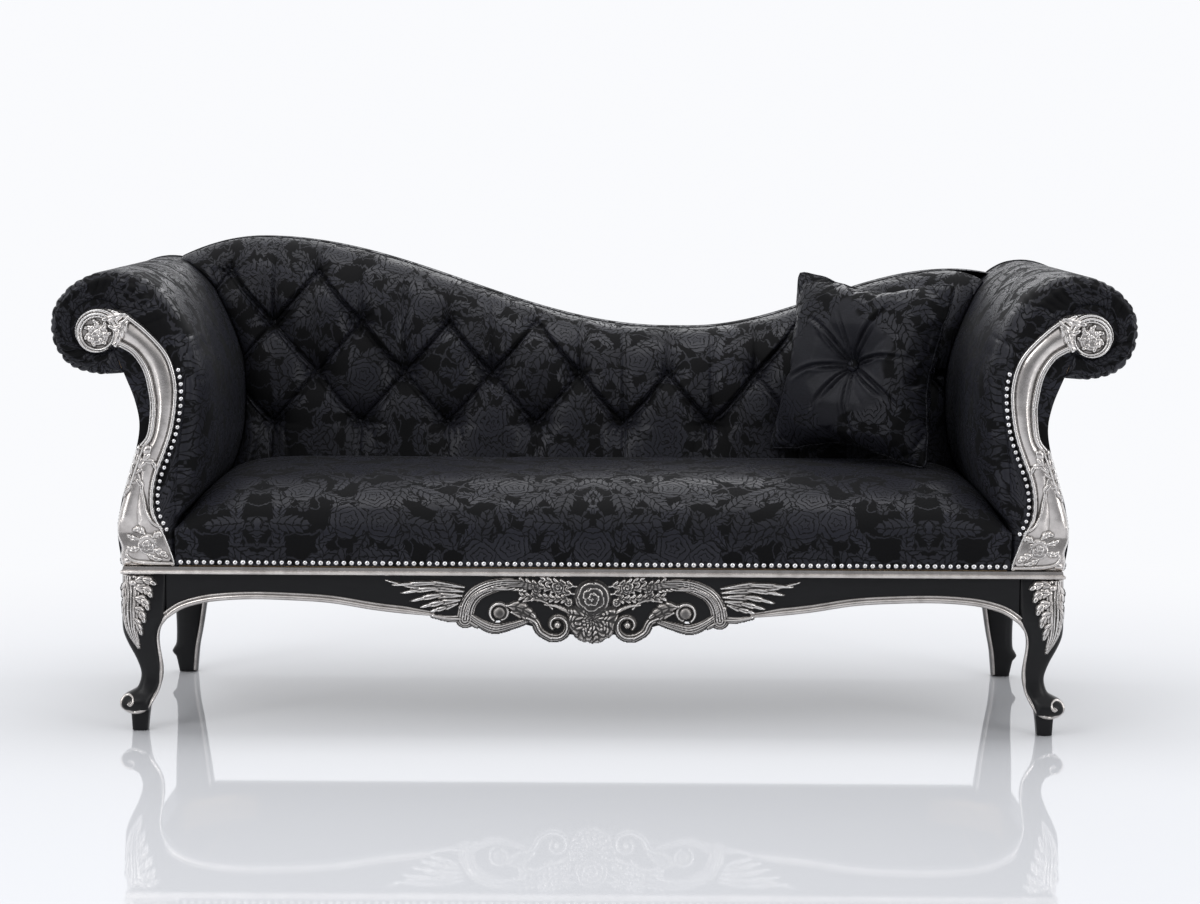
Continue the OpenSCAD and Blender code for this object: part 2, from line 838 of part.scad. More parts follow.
// Distances from the seat's side, where its columns stand
seat_columns = [0, 4, 10, 20, 34, 52, 76, 110, 160, 230, 320, 430, 550, 665];
seat_cols = concat([for (d = seat_columns) -seat_x + d],
    [for (i = [len(seat_columns) - 1 : -1 : 0]) seat_x - seat_columns[i]]);

// The crown falls to the shoulder at the sides
function seat_up(x, up) = min(up, seat_side)
    + max(0, up - seat_side) * (1 - exp(-(seat_x - abs(x)) / 42));

module seat_form() {
    nx = len(seat_cols);
    ny = len(seat_line);
    last = len(seat_line) - 1;
    top = [for (x = seat_cols, j = [0 : last]) let (up = seat_up(x, seat_line[j].y))
        [x, j < last ? seat_line[j].x : seat_back_y(up), deck + up]];
    base = [for (x = seat_cols) [x, seat_back_y(seat_line[0].y), deck + seat_line[0].y]];
    b = nx * ny;
    polyhedron(
        points = concat(top, base),
        faces = concat(
            [for (i = [0 : nx - 2], j = [0 : ny - 2]) let (a = i * ny + j)
                each [[a, a + 1, a + ny + 1], [a, a + ny + 1, a + ny]]],
            [for (i = [0 : nx - 2])
                each [[i * ny + ny - 1, b + i, b + i + 1],
                    [i * ny + ny - 1, b + i + 1, (i + 1) * ny + ny - 1],
                    [b + i, i * ny, (i + 1) * ny], [b + i, (i + 1) * ny, b + i + 1]]],
            [concat([b], [for (j = [ny - 1 : -1 : 0]) j])],
            [concat([for (j = [0 : ny - 1]) (nx - 1) * ny + j], [b + nx - 1])]));
}

// The cover and its wadding, hollow under the foam core and over the seat frame
module seat_cover() {
    color(FABRIC)
        difference() {
            seat_form();
            translate([-board_x - soft_gap, board_y - soft_gap, deck - 10])
                cube([2 * (board_x + soft_gap), body_d, foam_z - deck + 10]);
            translate([-foam_x - soft_gap, foam_y - soft_gap, foam_z - 1])
                cube([2 * (foam_x + soft_gap), seat_rear - 16 - foam_y + 2 * soft_gap,
                    foam_t + soft_gap + 1]);
        }
}

module seat_nails() {
    span = 2 * (seat_x - seat_nail_r - 2);
    n = floor(span / seat_nail_pitch);
    color(NICKEL)
        for (k = [0 : n])
            nail(-n * seat_nail_pitch / 2 + k * seat_nail_pitch, seat_y - fit_gap,
                deck + seat_nail_r + 3, seat_nail_r);
}

module dust_cover() {
    edge = front_y + moulding_w + 1;
    color(LACQUER)
        translate([-board_x + 4, edge, deck - 1.5])
            cube([2 * (board_x - 4), back_y - moulding_w - 1 - edge, 1.5]);
}

// Back

high_x = -rail_half + 183;
low_x = rail_half - 133;
dip_from = low_x - 590;
dip_to = low_x - 550;

function wave(s) = (1 - cos(180 * max(0, min(1, s)))) / 2;

// Height of the back's top over the moulding
function crest(x) = x < high_x ? crest_high - 43 * pow((high_x - x) / 172, 2)
    : x < dip_to ? crest_high + (crest_dip - crest_high) * wave((x - high_x) / (dip_from - high_x))
    : x < low_x ? crest_dip + (crest_low - crest_dip) * wave((x - dip_to) / (low_x - dip_to))
    : crest_low - 21 * pow((x - low_x) / 122, 2);

// Half the width that the arms leave for the back at the height up
function between_arms(up, i = 0) = i >= len(arm_skin) - 1 || arm_skin[i].x > -10
    ? back_wide
    : arm_skin[i + 1].y >= up && arm_skin[i].y <= up
        ? min(back_wide, rail_half + arm_skin[i].x + (arm_skin[i + 1].x - arm_skin[i].x)
            * (up - arm_skin[i].y) / (arm_skin[i + 1].y - arm_skin[i].y))
        : between_arms(up, i + 1);

back_wide = rail_half - 16;
arm_gap = 2.5;
straight = rail_half - 253;

// A column's x: straight in the middle, drawn in beside the arms
function drawn_in(x, up) = let (w = between_arms(up) - arm_gap, a = abs(x))
    a <= straight ? x
    : sign(x) * (straight + (a - straight) * (w - straight) / (back_wide - straight));

// Buttons: every second row is moved by half a pitch
button_x0 = high_x + 124;
function is_odd(k) = k % 2 == 1;
function button_x(k, i) = button_x0 + (is_odd(k) ? 0 : button_pitch / 2) + i * button_pitch;
function button_fits(x, up) = crest(x) - up > 27 && abs(x) < between_arms(up) - 30;
buttons = [for (k = [0 : 3], i = [-2 : 9]) let (x = button_x(k, i), up = row_first + k * row_pitch)
    if (button_fits(x, up)) [x, up]];

// Depth of the tufts: deep at the buttons, with pleats along the diagonals
function tuft(x, up) = let (
    u = (x - button_x0) / button_pitch, v = (up - row_first - row_pitch) / (2 * row_pitch),
    fold = pow(abs(sin(180 * (u + v)) * sin(180 * (u - v))), 0.45),
    steep = pow(abs(sin(180 * u)) * abs(cos(180 * u)) * 2, 0.6),
    above = max(0, min(1, (row_first - 40 - up) / 60)),
    near = max([for (b = buttons) exp(-pow(norm([x, up] - b) / 34, 2))]))
    (1 - above) * (pleat_d * (1 - (crest(x) - up < 60 ? (fold + steep) / 2 : fold))
        + (tuft_d - pleat_d) * near);

// How full the padding is at x and up: it rounds off below the top
function full_at(x, up) = rise((crest(x) - up) / crest_round);

// Y of the back's front before it is tufted
function plain_y(x, up) = plane_y(up, panel_t + back_board_t) - soft_gap - 10
    - (pad_t - 10) * full_at(x, up);

// Y of the back's front at x and up, sewn and drawn in beside the arms
function pad_y(x, up) = plain_y(x, up) + full_at(x, up)
    * (tuft(x, up) + 22 * (1 - rise((between_arms(up) - abs(x)) / 50)));

back_nx = 42;
back_ny = 22;
function back_grid(i, j) = let (
    x0 = -back_wide + 2 * back_wide * i / back_nx,
    s = j / back_ny, share = s + 0.12 * sin(360 * s * 0.5) * s,
    up = back_low + (crest(x0) - back_low) * min(1, share),
    x = drawn_in(x0, up))
    [x, up];
grid = [for (i = [0 : back_nx]) [for (j = [0 : back_ny]) back_grid(i, j)]];

// Its outline, counter-clockwise as seen from the front, as grid places
back_rim = concat([for (i = [0 : back_nx - 1]) [i, 0]],
    [for (j = [0 : back_ny - 1]) [back_nx, j]],
    [for (i = [back_nx : -1 : 1]) [i, back_ny]],
    [for (j = [back_ny : -1 : 1]) [0, j]]);

// The flat rear face, as triangles between the places of the outline: strips in the
// middle, and a fan from the second foot at each end
function back_rear_faces(m) = let (far = back_nx - 1, turn = back_nx + back_ny) concat(
    [for (k = [1 : back_nx - 2]) let (t = turn + back_nx - k)
        each [[k, k + 1, t - 1], [k, t - 1, t]]],
    [for (k = [0 : back_ny]) [far, back_nx + k, back_nx + k + 1]],
    [for (k = [0 : back_ny]) [1, m - k - 1, m - k]]);

module back_padding() {
    n = back_ny + 1;
    m = len(back_rim);
    f = (back_nx + 1) * n;
    color(FABRIC)
        polyhedron(
            points = concat(
                [for (c = grid, p = c) [p.x, pad_y(p.x, p.y), deck + p.y]],
                [for (r = back_rim) let (p = grid[r.x][r.y])
                    [p.x, plane_y(p.y, panel_t + back_board_t) - soft_gap, deck + p.y]]),
            faces = concat(
                [for (i = [0 : back_nx - 1], j = [0 : back_ny - 1]) let (a = i * n + j)
                    each [[a, a + 1, a + n + 1], [a, a + n + 1, a + n]]],
                [for (k = [0 : m - 1]) let (l = (k + 1) % m,
                    a = back_rim[k].x * n + back_rim[k].y, b = back_rim[l].x * n + back_rim[l].y)
                    each [[a, b, f + l], [a, f + l, f + k]]],
                [for (t = back_rear_faces(m)) [for (k = t) f + k % m]]));
}

// Covered buttons: a cone under each head draws the fabric in
module covered_button(r) {
    cone = r * 2;
    rotate([90, 0, 0]) {
        cylinder(r1 = 0.5, r2 = r, h = cone, $fn = 32);
        translate([0, 0, cone])
            cylinder(r = r, h = 2, $fn = 32);
        translate([0, 0, cone + 2])
            cylinder(r1 = r, r2 = r * 0.5, h = 3, $fn = 32);
    }
}

// Y at the place q on the facet with the corners a, b and c, or nothing beside it
function cross2(a, b) = a.x * b.y - a.y * b.x;
function on_facet(q, a, b, c) = let (
    d = cross2(b - a, c - a), v = cross2(q - a, c - a) / d, w = cross2(b - a, q - a) / d)
    v < 0 || w < 0 || v + w > 1 ? []
    : [(1 - v - w) * pad_y(a.x, a.y) + v * pad_y(b.x, b.y) + w * pad_y(c.x, c.y)];

// Y of the padding's own surface at the place q
function seat_of(q) = [for (i = [0 : back_nx - 1], j = [0 : back_ny - 1])
    let (a = grid[i][j], b = grid[i][j + 1], c = grid[i + 1][j + 1], d = grid[i + 1][j])
        if (q.x >= min(a.x, b.x) && q.x <= max(c.x, d.x)
            && q.y >= min(a.y, d.y) && q.y <= max(b.y, c.y))
            each concat(on_facet(q, a, b, c), on_facet(q, a, c, d))][0];

// Lean of the padding at the place q, in degrees
function lean_of(q) = atan((plain_y(q.x, q.y + 5) - plain_y(q.x, q.y - 5)) / 10);

module back_buttons() {
    color(FABRIC)
        for (b = buttons)
            translate([b.x, seat_of(b) - 2 * fit_gap, deck + b.y])
                rotate([-lean_of(b), 0, 0])
                    covered_button(button_r);
}

// The back's top line, lowered by d, in n steps
function back_outline(d, n) = [for (i = [0 : n])
    let (x = -back_wide + 2 * back_wide * i / n) [x, crest(x) - d]];

module back_top_rail() {
    top = [for (p = back_outline(8, 40))
        if (abs(p.x) < between_arms(p.y - back_board_w) - 6) p];
    low = [for (p = top) p - [0, back_board_w]];
    color(TIMBER)
        in_back(concat(top, reversed(low)), back_board_t + panel_t, back_board_t);
}

post_x = between_arms(250) - 12;

module back_posts() {
    color(TIMBER)
        for (x = [-post_x, -post_x / 3, post_x / 3 - back_board_w, post_x - back_board_w])
            in_back([[x, back_board_w + fit_gap], [x + back_board_w, back_board_w + fit_gap],
                [x + back_board_w, crest(x + back_board_w) - 9 - back_board_w],
                [x, crest(x) - 9 - back_board_w]], back_board_t + panel_t, back_board_t);
}

module back_bottom_rail() {
    color(TIMBER)
        in_back([[-post_x, fit_gap], [post_x, fit_gap], [post_x, back_board_w],
            [-post_x, back_board_w]], back_board_t + panel_t, back_board_t);
}

module back_panel() {
    arm = on_arm(concat(arm_side, reversed(arm_skin)));
    other = [for (p = arm) [-p.x, p.y]];
    middle = concat([[-rail_half + 90, fit_gap], [-rail_half + 80, 380]], back_outline(0, 60),
        [[rail_half - 80, 380], [rail_half - 90, fit_gap]]);
    color(FABRIC)
        union() {
            in_back(arm, panel_t, panel_t);
            in_back(other, panel_t, panel_t);
            in_back(middle, panel_t, panel_t);
        }
}

// Pillow: it stands on its right lower corner, and its left upper corner reaches over the
// rounded top of the back
pillow_roll = 2.5;
pillow_x = rail_half - 347;
corner_over = 17;

// Where the lower corner lies from the pillow's middle, once it is turned and leant
pillow_foot = let (
    h = pillow_w / 2,
    x = h * (cos(pillow_roll) - sin(pillow_roll)),
    z = -h * (cos(pillow_roll) + sin(pillow_roll)),
    y = z * sin(pillow_lean))
    [x * cos(pillow_turn) + y * sin(pillow_turn), y * cos(pillow_turn) - x * sin(pillow_turn),
        z * cos(pillow_lean)];

pillow_y = plane_y(seat_rise - pillow_foot.z, panel_t + back_board_t) - pad_t
    + pillow_foot.y + corner_over;

// Height of the seat's crown line at y, and of the seat's facets at x and y
function line_up(y, j = 0) = j >= len(seat_line) - 2 || seat_line[j + 1].x >= y
    ? seat_line[j].y + (seat_line[j + 1].y - seat_line[j].y)
        * (y - seat_line[j].x) / (seat_line[j + 1].x - seat_line[j].x)
    : line_up(y, j + 1);
function seat_top(x, y, i = 0) = seat_cols[i + 1] < x ? seat_top(x, y, i + 1)
    : let (up = line_up(y), a = seat_up(seat_cols[i], up), b = seat_up(seat_cols[i + 1], up))
        deck + a + (b - a) * (x - seat_cols[i]) / (seat_cols[i + 1] - seat_cols[i]);

pillow_z = seat_top(pillow_x + pillow_foot.x, pillow_y + pillow_foot.y) - pillow_foot.z
    + soft_gap;

module place_pillow() {
    translate([pillow_x, pillow_y, pillow_z])
        rotate([0, 0, -pillow_turn])
            rotate([-pillow_lean, 0, 0])
                rotate([0, pillow_roll, 0])
                    children();
}

// Thickness of a pillow of width w and crown t at the share r of the way out, at angle a
function square(a) = 1 / max(abs(cos(a)), abs(sin(a)));
function pillow_point(w, t, r, a, side) = let (
    u = r * square(a) * cos(a), v = r * square(a) * sin(a),
    draw = 1 - 0.07 * pow(r, 4) * (1 - pow(min(abs(u), abs(v)) / max(0.001, max(abs(u), abs(v))), 2)),
    reach = r * square(a) * w / 2,
    dimple = 0.3 * t * exp(-pow(reach / 26, 2)),
    pleat = 0.025 * t * (1 - cos(12 * a)) * exp(-pow((reach - 50) / 45, 2)),
    h = max(0, t / 2 * pow(max(0, (1 - u * u) * (1 - v * v)), 0.5) - dimple - pleat))
    [u * w / 2 * draw, side * h, v * w / 2 * draw];

module pillow_form(w, t, sectors, rings) {
    mid = 1 / rings;
    front = [for (k = [1 : rings - 1], i = [0 : sectors - 1])
        pillow_point(w, t, pow(k * mid, 0.8), i * 360 / sectors, -1)];
    rear = [for (k = [1 : rings - 1], i = [0 : sectors - 1])
        pillow_point(w, t, pow(k * mid, 0.8), i * 360 / sectors, 1)];
    seam = [for (i = [0 : sectors - 1]) pillow_point(w, t, 1, i * 360 / sectors, 1)];
    n = sectors;
    m = n * (rings - 1);
    points = concat(front, rear, seam,
        [pillow_point(w, t, 0, 0, -1), pillow_point(w, t, 0, 0, 1)]);
    function f(k, i) = k == rings - 1 ? 2 * m + i % n : k * n + i % n;
    function r(k, i) = k == rings - 1 ? 2 * m + i % n : m + k * n + i % n;
    polyhedron(points = points, faces = concat(
        [for (k = [0 : rings - 2], i = [0 : n - 1])
            each [[f(k, i), f(k + 1, i + 1), f(k + 1, i)], [f(k, i), f(k, i + 1), f(k + 1, i + 1)],
                [r(k, i), r(k + 1, i), r(k + 1, i + 1)], [r(k, i), r(k + 1, i + 1), r(k, i + 1)]]],
        [for (i = [0 : n - 1])
            each [[2 * m + n, f(0, i + 1), f(0, i)], [2 * m + n + 1, r(0, i), r(0, i + 1)]]]));
}

filling_w = pillow_w - 5 * pillow_wall;
filling_t = pillow_t - 2 * pillow_wall;

module pillow_cover() {
    color(FABRIC)
        place_pillow()
            difference() {
                pillow_form(pillow_w, pillow_t, 48, 9);
                pillow_form(filling_w, filling_t, 16, 4);
            }
}

module pillow_filling() {
    color(FOAM)
        place_pillow()
            pillow_form(filling_w - 2 * soft_gap, filling_t - 2 * soft_gap, 16, 4);
}

module pillow_buttons() {
    color(FABRIC)
        place_pillow()
            for (side = [0, 1])
                mirror([0, side, 0])
                    translate([0, -0.2 * pillow_t - fit_gap, 0])
                        covered_button(button_r);
}

front_apron();
rear_rail();
left_rail();
right_rail();
front_left_leg();
front_right_leg();
rear_left_leg();
rear_right_leg();
left_knee_carving();
right_knee_carving();
apron_bead();
apron_crest();
front_moulding();
left_moulding();
right_moulding();
rear_moulding();
foot_glides();
corner_blocks();
corner_screws();
left_arm_facing();
right_arm_facing();
left_arm_boards();
right_arm_boards();
left_arm_rails();
right_arm_rails();
left_arm_panel();
right_arm_panel();
left_arm_padding();
right_arm_padding();
left_facing_nails();
right_facing_nails();
seat_frame();
webbing_across();
webbing_along();
seat_foam();
seat_cover();
seat_nails();
dust_cover();
back_posts();
back_top_rail();
back_bottom_rail();
back_padding();
back_buttons();
back_panel();
pillow_cover();
pillow_filling();
pillow_buttons();
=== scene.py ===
# %% [markdown]
# # A black and silver chaise longue
# The chaise has a carved show frame in antique silver leaf over black lacquer, two scroll
# arms, a buttoned back that falls in a wave to one end, a tight seat and a loose pillow.
# The imported model is the fixed frame: every timber, rail and strap of it stays where it is.
# Blender adds what the eye meets: cloth, carving, nails, lacquer and light. The first cell loads
# the frame. The dressed model has to stay inside it.

import bpy
import json
import math
import numpy as np
from mathutils import Matrix, Vector
from mathutils.geometry import delaunay_2d_cdt

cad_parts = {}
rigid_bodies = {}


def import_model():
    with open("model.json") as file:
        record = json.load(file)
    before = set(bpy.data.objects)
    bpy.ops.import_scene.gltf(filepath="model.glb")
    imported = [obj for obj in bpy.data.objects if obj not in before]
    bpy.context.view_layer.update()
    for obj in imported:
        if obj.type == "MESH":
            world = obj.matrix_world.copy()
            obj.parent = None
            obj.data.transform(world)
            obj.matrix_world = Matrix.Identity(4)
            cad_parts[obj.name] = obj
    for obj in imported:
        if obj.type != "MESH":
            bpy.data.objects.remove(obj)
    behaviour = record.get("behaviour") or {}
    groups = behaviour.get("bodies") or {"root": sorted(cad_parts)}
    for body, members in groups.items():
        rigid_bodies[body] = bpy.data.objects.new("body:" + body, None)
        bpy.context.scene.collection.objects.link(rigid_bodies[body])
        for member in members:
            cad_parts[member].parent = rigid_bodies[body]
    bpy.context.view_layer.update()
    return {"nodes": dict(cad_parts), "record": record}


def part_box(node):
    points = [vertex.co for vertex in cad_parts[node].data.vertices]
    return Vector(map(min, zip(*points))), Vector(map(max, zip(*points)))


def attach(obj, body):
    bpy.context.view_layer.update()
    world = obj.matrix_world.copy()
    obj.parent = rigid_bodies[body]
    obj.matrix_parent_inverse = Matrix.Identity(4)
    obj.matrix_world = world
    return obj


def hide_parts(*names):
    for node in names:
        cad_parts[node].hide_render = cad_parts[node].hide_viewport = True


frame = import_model()

# %% [markdown]
# ## Sizes shared with the model
# The same few sizes drive every piece below, in millimetres as a maker writes them. The
# back leans by its rake, and the deck is the top of the moulding. Depths in the back are
# counted from its rear face: panel, boards, padding. Cloth stops GAP short of the panel,
# and carving stands GLUE in front of its ground. The arm outlines are lists of (out, up)
# points: out is measured past the end of the rail, up from the deck.

# %% Sizes
MM = 0.001
RAIL_HALF = 873
FRONT = -360
RAIL_Y = FRONT + 15
LEG_H = 300
DECK = 314
RAKE = math.radians(9.5)
REAR = 360
BACK_H, DIP_H, LOW_H = 587, 406, 526
BACK_Y = REAR - BACK_H * math.tan(RAKE)
ARM_Y = RAIL_Y + 8
PANEL_T = 4
BOARD_T = 30
BOARD_FACE = PANEL_T + BOARD_T
PAD_T = 127
GAP = 0.4
GLUE = 0.2
SIDES = ((-1, "left"), (1, "right"))
rng = np.random.default_rng(7)


def plane_y(up, depth):
    """Y of the plane that lies depth in front of the back's rear face, at a height."""
    return BACK_Y + up * math.tan(RAKE) - depth / math.cos(RAKE)


print("deck", DECK, "rear face", round(BACK_Y, 1))

# %% [markdown]
# ## The camera
# The photograph was taken from in front with a long lens, a little above the arms. Its
# place and its turns were solved from points of the chaise that are seen in the picture.

# %% Camera
camera = bpy.data.objects.new("camera", bpy.data.cameras.new("camera"))
bpy.context.scene.collection.objects.link(camera)
camera.data.sensor_width = 36.0
camera.data.lens = 81.15
camera.data.clip_end = 60.0
pitch, yaw, roll = math.radians(6.35), math.radians(0.25), math.radians(0.30)
look = Vector((-math.sin(yaw) * math.cos(pitch), math.cos(yaw) * math.cos(pitch),
               -math.sin(pitch)))
right = look.cross(Vector((0, 0, 1))).normalized()
above = right.cross(look)
right_rolled = right * math.cos(roll) + above * math.sin(roll)
above_rolled = above * math.cos(roll) - right * math.sin(roll)
camera.matrix_world = Matrix((
    (right_rolled.x, above_rolled.x, -look.x, 0.034),
    (right_rolled.y, above_rolled.y, -look.y, -5.295),
    (right_rolled.z, above_rolled.z, -look.z, 1.0818),
    (0, 0, 0, 1)))
bpy.context.scene.camera = camera
print("camera at", [round(v, 3) for v in camera.location])

# %% [markdown]
# ## Writing materials as expressions
# A finish is a small sum: a base tone, plus grain, minus what is worn off. Node trees say
# the same with boxes and wires. The class below wraps one wire, so that a + b, a * b and
# 1 - a add the Math nodes by themselves, and `Finish.node` makes any other node.

# %% Nodes as expressions
class Wire:
    """One output of a node. Arithmetic on it adds Math nodes to the same finish."""

    def __init__(self, finish, socket):
        self.finish = finish
        self.socket = socket

    def _math(self, operation, *values):
        return self.finish.node("ShaderNodeMath", {"operation": operation},
                                dict(enumerate(values)))

    def __add__(self, other): return self._math("ADD", self, other)
    def __radd__(self, other): return self._math("ADD", other, self)
    def __sub__(self, other): return self._math("SUBTRACT", self, other)
    def __rsub__(self, other): return self._math("SUBTRACT", other, self)
    def __mul__(self, other): return self._math("MULTIPLY", self, other)
    def __truediv__(self, other): return self._math("DIVIDE", self, other)
    def __abs__(self): return self._math("ABSOLUTE", self)
    def __mod__(self, other): return self._math("FLOORED_MODULO", self, other)
    def __gt__(self, other): return self._math("GREATER_THAN", self, other)
    def smaller(self, other): return self._math("MINIMUM", self, other)
    def larger(self, other): return self._math("MAXIMUM", self, other)
    def sin(self): return self._math("SINE", self)
    def cos(self): return self._math("COSINE", self)
    def folded(self, width): return self._math("PINGPONG", self, width)
    def root(self): return self._math("SQRT", self)
    def angle_to(self, other): return self._math("ARCTAN2", self, other)

    def also(self, output):
        """Another output of the same node."""
        return Wire(self.finish, self.socket.node.outputs[output])

    def step(self, low, high):
        """0 below low, 1 above high, and smooth between them."""
        return self.finish.node(
            "ShaderNodeMapRange", {"interpolation_type": "SMOOTHSTEP"},
            {"Value": self, "From Min": low, "From Max": high})


class Finish:
    """A material whose nodes are made one call at a time."""

    def __init__(self, name):
        self.material = bpy.data.materials.new(name)
        self.material.use_nodes = True
        self.tree = self.material.node_tree
        self.tree.nodes.clear()

    def node(self, kind, settings=None, values=None, output=0):
        made = self.tree.nodes.new(kind)
        for key, value in (settings or {}).items():
            setattr(made, key, value)
        for key, value in (values or {}).items():
            socket = made.inputs[key]
            if isinstance(value, Wire):
                self.tree.links.new(value.socket, socket)
            else:
                socket.default_value = value
        return Wire(self, made.outputs[output]) if made.outputs else made

    def place(self):
        """Object coordinates, as three wires."""
        return self.parts(self.spot())

    def spot(self):
        return self.node("ShaderNodeTexCoord", output=3)

    def noise(self, vector, scale, detail=3.0, rough=0.5):
        return self.node("ShaderNodeTexNoise", values={
            "Vector": vector, "Scale": scale, "Detail": detail, "Roughness": rough})

    def join(self, x, y, z=0.0):
        return self.node("ShaderNodeCombineXYZ", values={0: x, 1: y, 2: z})

    def vector(self, operation, one, two):
        return self.node("ShaderNodeVectorMath", {"operation": operation}, {0: one, 1: two})

    def parts(self, vector):
        return [self.node("ShaderNodeSeparateXYZ", values={0: vector}, output=i)
                for i in range(3)]

    def mix(self, share, one, two):
        return self.node("ShaderNodeMix", {"data_type": "RGBA"},
                         {0: share, 6: (*one, 1) if isinstance(one, tuple) else one,
                          7: (*two, 1) if isinstance(two, tuple) else two}, output=2)

    def bump(self, height, distance, strength):
        return self.node("ShaderNodeBump", values={
            "Height": height, "Distance": distance, "Strength": strength})

    def attribute(self, name):
        return self.node("ShaderNodeAttribute", {"attribute_name": name}, output=2)

    def surface(self, **values):
        shader = self.node("ShaderNodeBsdfPrincipled", values={
            key.replace("_", " "): value for key, value in values.items()})
        self.node("ShaderNodeOutputMaterial", values={"Surface": shader})
        return self.material


print("finishes are written as expressions")

# %% [markdown]
# ## The damask
# The cover is a black jacquard with a blue-grey satin figure: peonies among serrated leaves
# and thin vines, packed so closely that little ground shows. A jacquard repeats as its own
# mirror image, so the cloth's own coordinates are folded to and fro into one cell. Inside
# it a Voronoi scatter gives every leaf and flower its heart and its own turn, so one drawn
# leaf makes a whole dense field. The satin figure is smoother than the matt ground, and
# that is what makes it shine.

# %% Damask
CELL_W, CELL_H = 0.62, 0.74
LEAVES = [(0.044, 0.070, 0.0125, 6, 3.1), (0.062, 0.100, 0.0185, 7, 8.7)]
FLOWERS = (0.125, 0.035, 5, 17.3)


def scatter(cloth, spot, size, seed):
    """The place as seen from the nearest heart of a loose scatter, and that heart's luck."""
    moved = cloth.vector("ADD", spot, (seed, seed * 0.7, 0.0))
    heart = cloth.node("ShaderNodeTexVoronoi", {"voronoi_dimensions": "2D"},
                       {"Vector": moved, "Scale": 1 / size, "Randomness": 0.85},
                       output="Position")
    turn, luck, _ = cloth.parts(heart.also("Color"))
    local = cloth.node("ShaderNodeVectorRotate", {"rotation_type": "Z_AXIS"},
                       {"Vector": cloth.vector("SUBTRACT", moved, heart),
                        "Angle": turn * 6.283})
    u, v, _ = cloth.parts(local)
    return u, v, luck


def damask(name, way="cloth", satin=None):
    """The cover cloth. way is the map it follows: the piece's own cloth map, or two axes.
    satin is a place and radius with an even satin ground instead of the figure, made bright as a
    painted sheen highlight."""
    cloth = Finish(name)
    if way == "cloth":
        across, along, _ = cloth.parts(cloth.node("ShaderNodeUVMap", {"uv_map": "cloth"}))
    else:
        axes = dict(zip("xyz", cloth.place()))
        across, along = axes[way[0]], axes[way[1]]
    cell = cloth.join(across.folded(CELL_W), along.folded(CELL_H))
    warp = cloth.node("ShaderNodeTexNoise", {"noise_dimensions": "2D"},
                      {"Vector": cell, "Scale": 55.0, "Detail": 3.0, "Roughness": 0.6},
                      output=1)
    lean = cloth.vector("MULTIPLY", cloth.vector("SUBTRACT", warp, (0.5, 0.5, 0.5)),
                        (0.013, 0.013, 0.0))
    spot = cloth.vector("ADD", cell, lean)
    vine = cloth.noise(spot, 17.0, 1.5, 0.4)
    figure = (0.016 - abs(vine - 0.5)).step(0.0, 0.008) * 0.75
    for size, length, width, teeth, seed in LEAVES:
        u, v, luck = scatter(cloth, spot, size, seed)
        run = u * (1 / length) + 0.5
        side = abs(v)
        saw = (run * teeth - side * (0.9 / width)) % 1.0
        edge = (run * (1.0 - run)).larger(0.0).root() * (saw * 0.8 + 1.2) * width
        leaf = (edge - side).step(-0.0005, 0.0009)
        veins = (0.0017 - side).step(0.0, 0.0008).larger((0.23 - saw).step(0.0, 0.07))
        shine = (luck * 0.6 + 0.6) * (1.0 - veins * 0.95)
        there = luck > 0.22
        shadow = (edge + 0.0030 - side).step(0.0, 0.0020) * there
        figure = figure * (1.0 - shadow) + leaf * there * shine
    size, radius, petals, seed = FLOWERS
    u, v, luck = scatter(cloth, spot, size, seed)
    out = (u * u + v * v).root()
    lobe = abs((v.angle_to(u) * (petals / 2)).cos())
    rim = (lobe * 0.24 + 0.84) * radius - out
    bloom = rim.step(-0.0005, 0.0009)
    rings = (out * (3.6 / radius) + lobe * 0.5) % 1.0
    shine = (0.85 + rings * 0.3) * (1.0 - (0.27 - rings).step(0.0, 0.08) * 0.95)
    figure = figure * (1.0 - (rim + 0.0032).step(0.0, 0.0020)) + bloom * shine
    # Painted sheen highlight: round the given place an even, bright satin patch takes the
    # figure's place.
    if satin:
        away = ((across - satin[0]) * (across - satin[0])
                + (along - satin[1]) * (along - satin[1])).root()
        satin_sheen_patch = (satin[2] - away + (vine - 0.5) * 0.16).step(-0.004, 0.012)
        figure = figure + (0.72 - figure) * satin_sheen_patch * 0.9
    flat = cloth.join(across, along)
    thread = cloth.noise(cloth.join(across * 900.0, along * 260.0), 1.0, 1.0)
    slub = cloth.noise(cloth.join(across * 40.0, along * 420.0), 1.0, 2.0)
    worn = cloth.noise(flat, 7.0, 3.0)
    shade = (thread * 0.5 + slub * 0.5 + 0.5) * (worn * 0.7 + 0.65)
    dark, light = 0.0017, 0.0185
    grey = (figure * (light - dark) + dark) * shade
    tint = cloth.node("ShaderNodeCombineColor", values={0: grey * 0.91, 1: grey * 0.93,
                                                        2: grey * 1.24})
    rough = 0.82 - figure * 0.46 + (thread - 0.5) * 0.12
    height = figure * 0.6 + thread * 0.35 + slub * 0.25
    return cloth.surface(Base_Color=tint, Roughness=rough, Specular_IOR_Level=0.17,
                         Sheen_Weight=0.01, Sheen_Roughness=0.4,
                         Sheen_Tint=(0.62, 0.66, 0.85, 1),
                         Normal=cloth.bump(height, 0.0005, 0.6))


DAMASK = damask("damask")
DAMASK_BACK = damask("damask_rear", "xz")
SATIN = damask("damask_pillow", satin=(0.088, 0.118, 0.118))
print("damask:", len(LEAVES), "leaves and a flower, scattered in a folded cell")
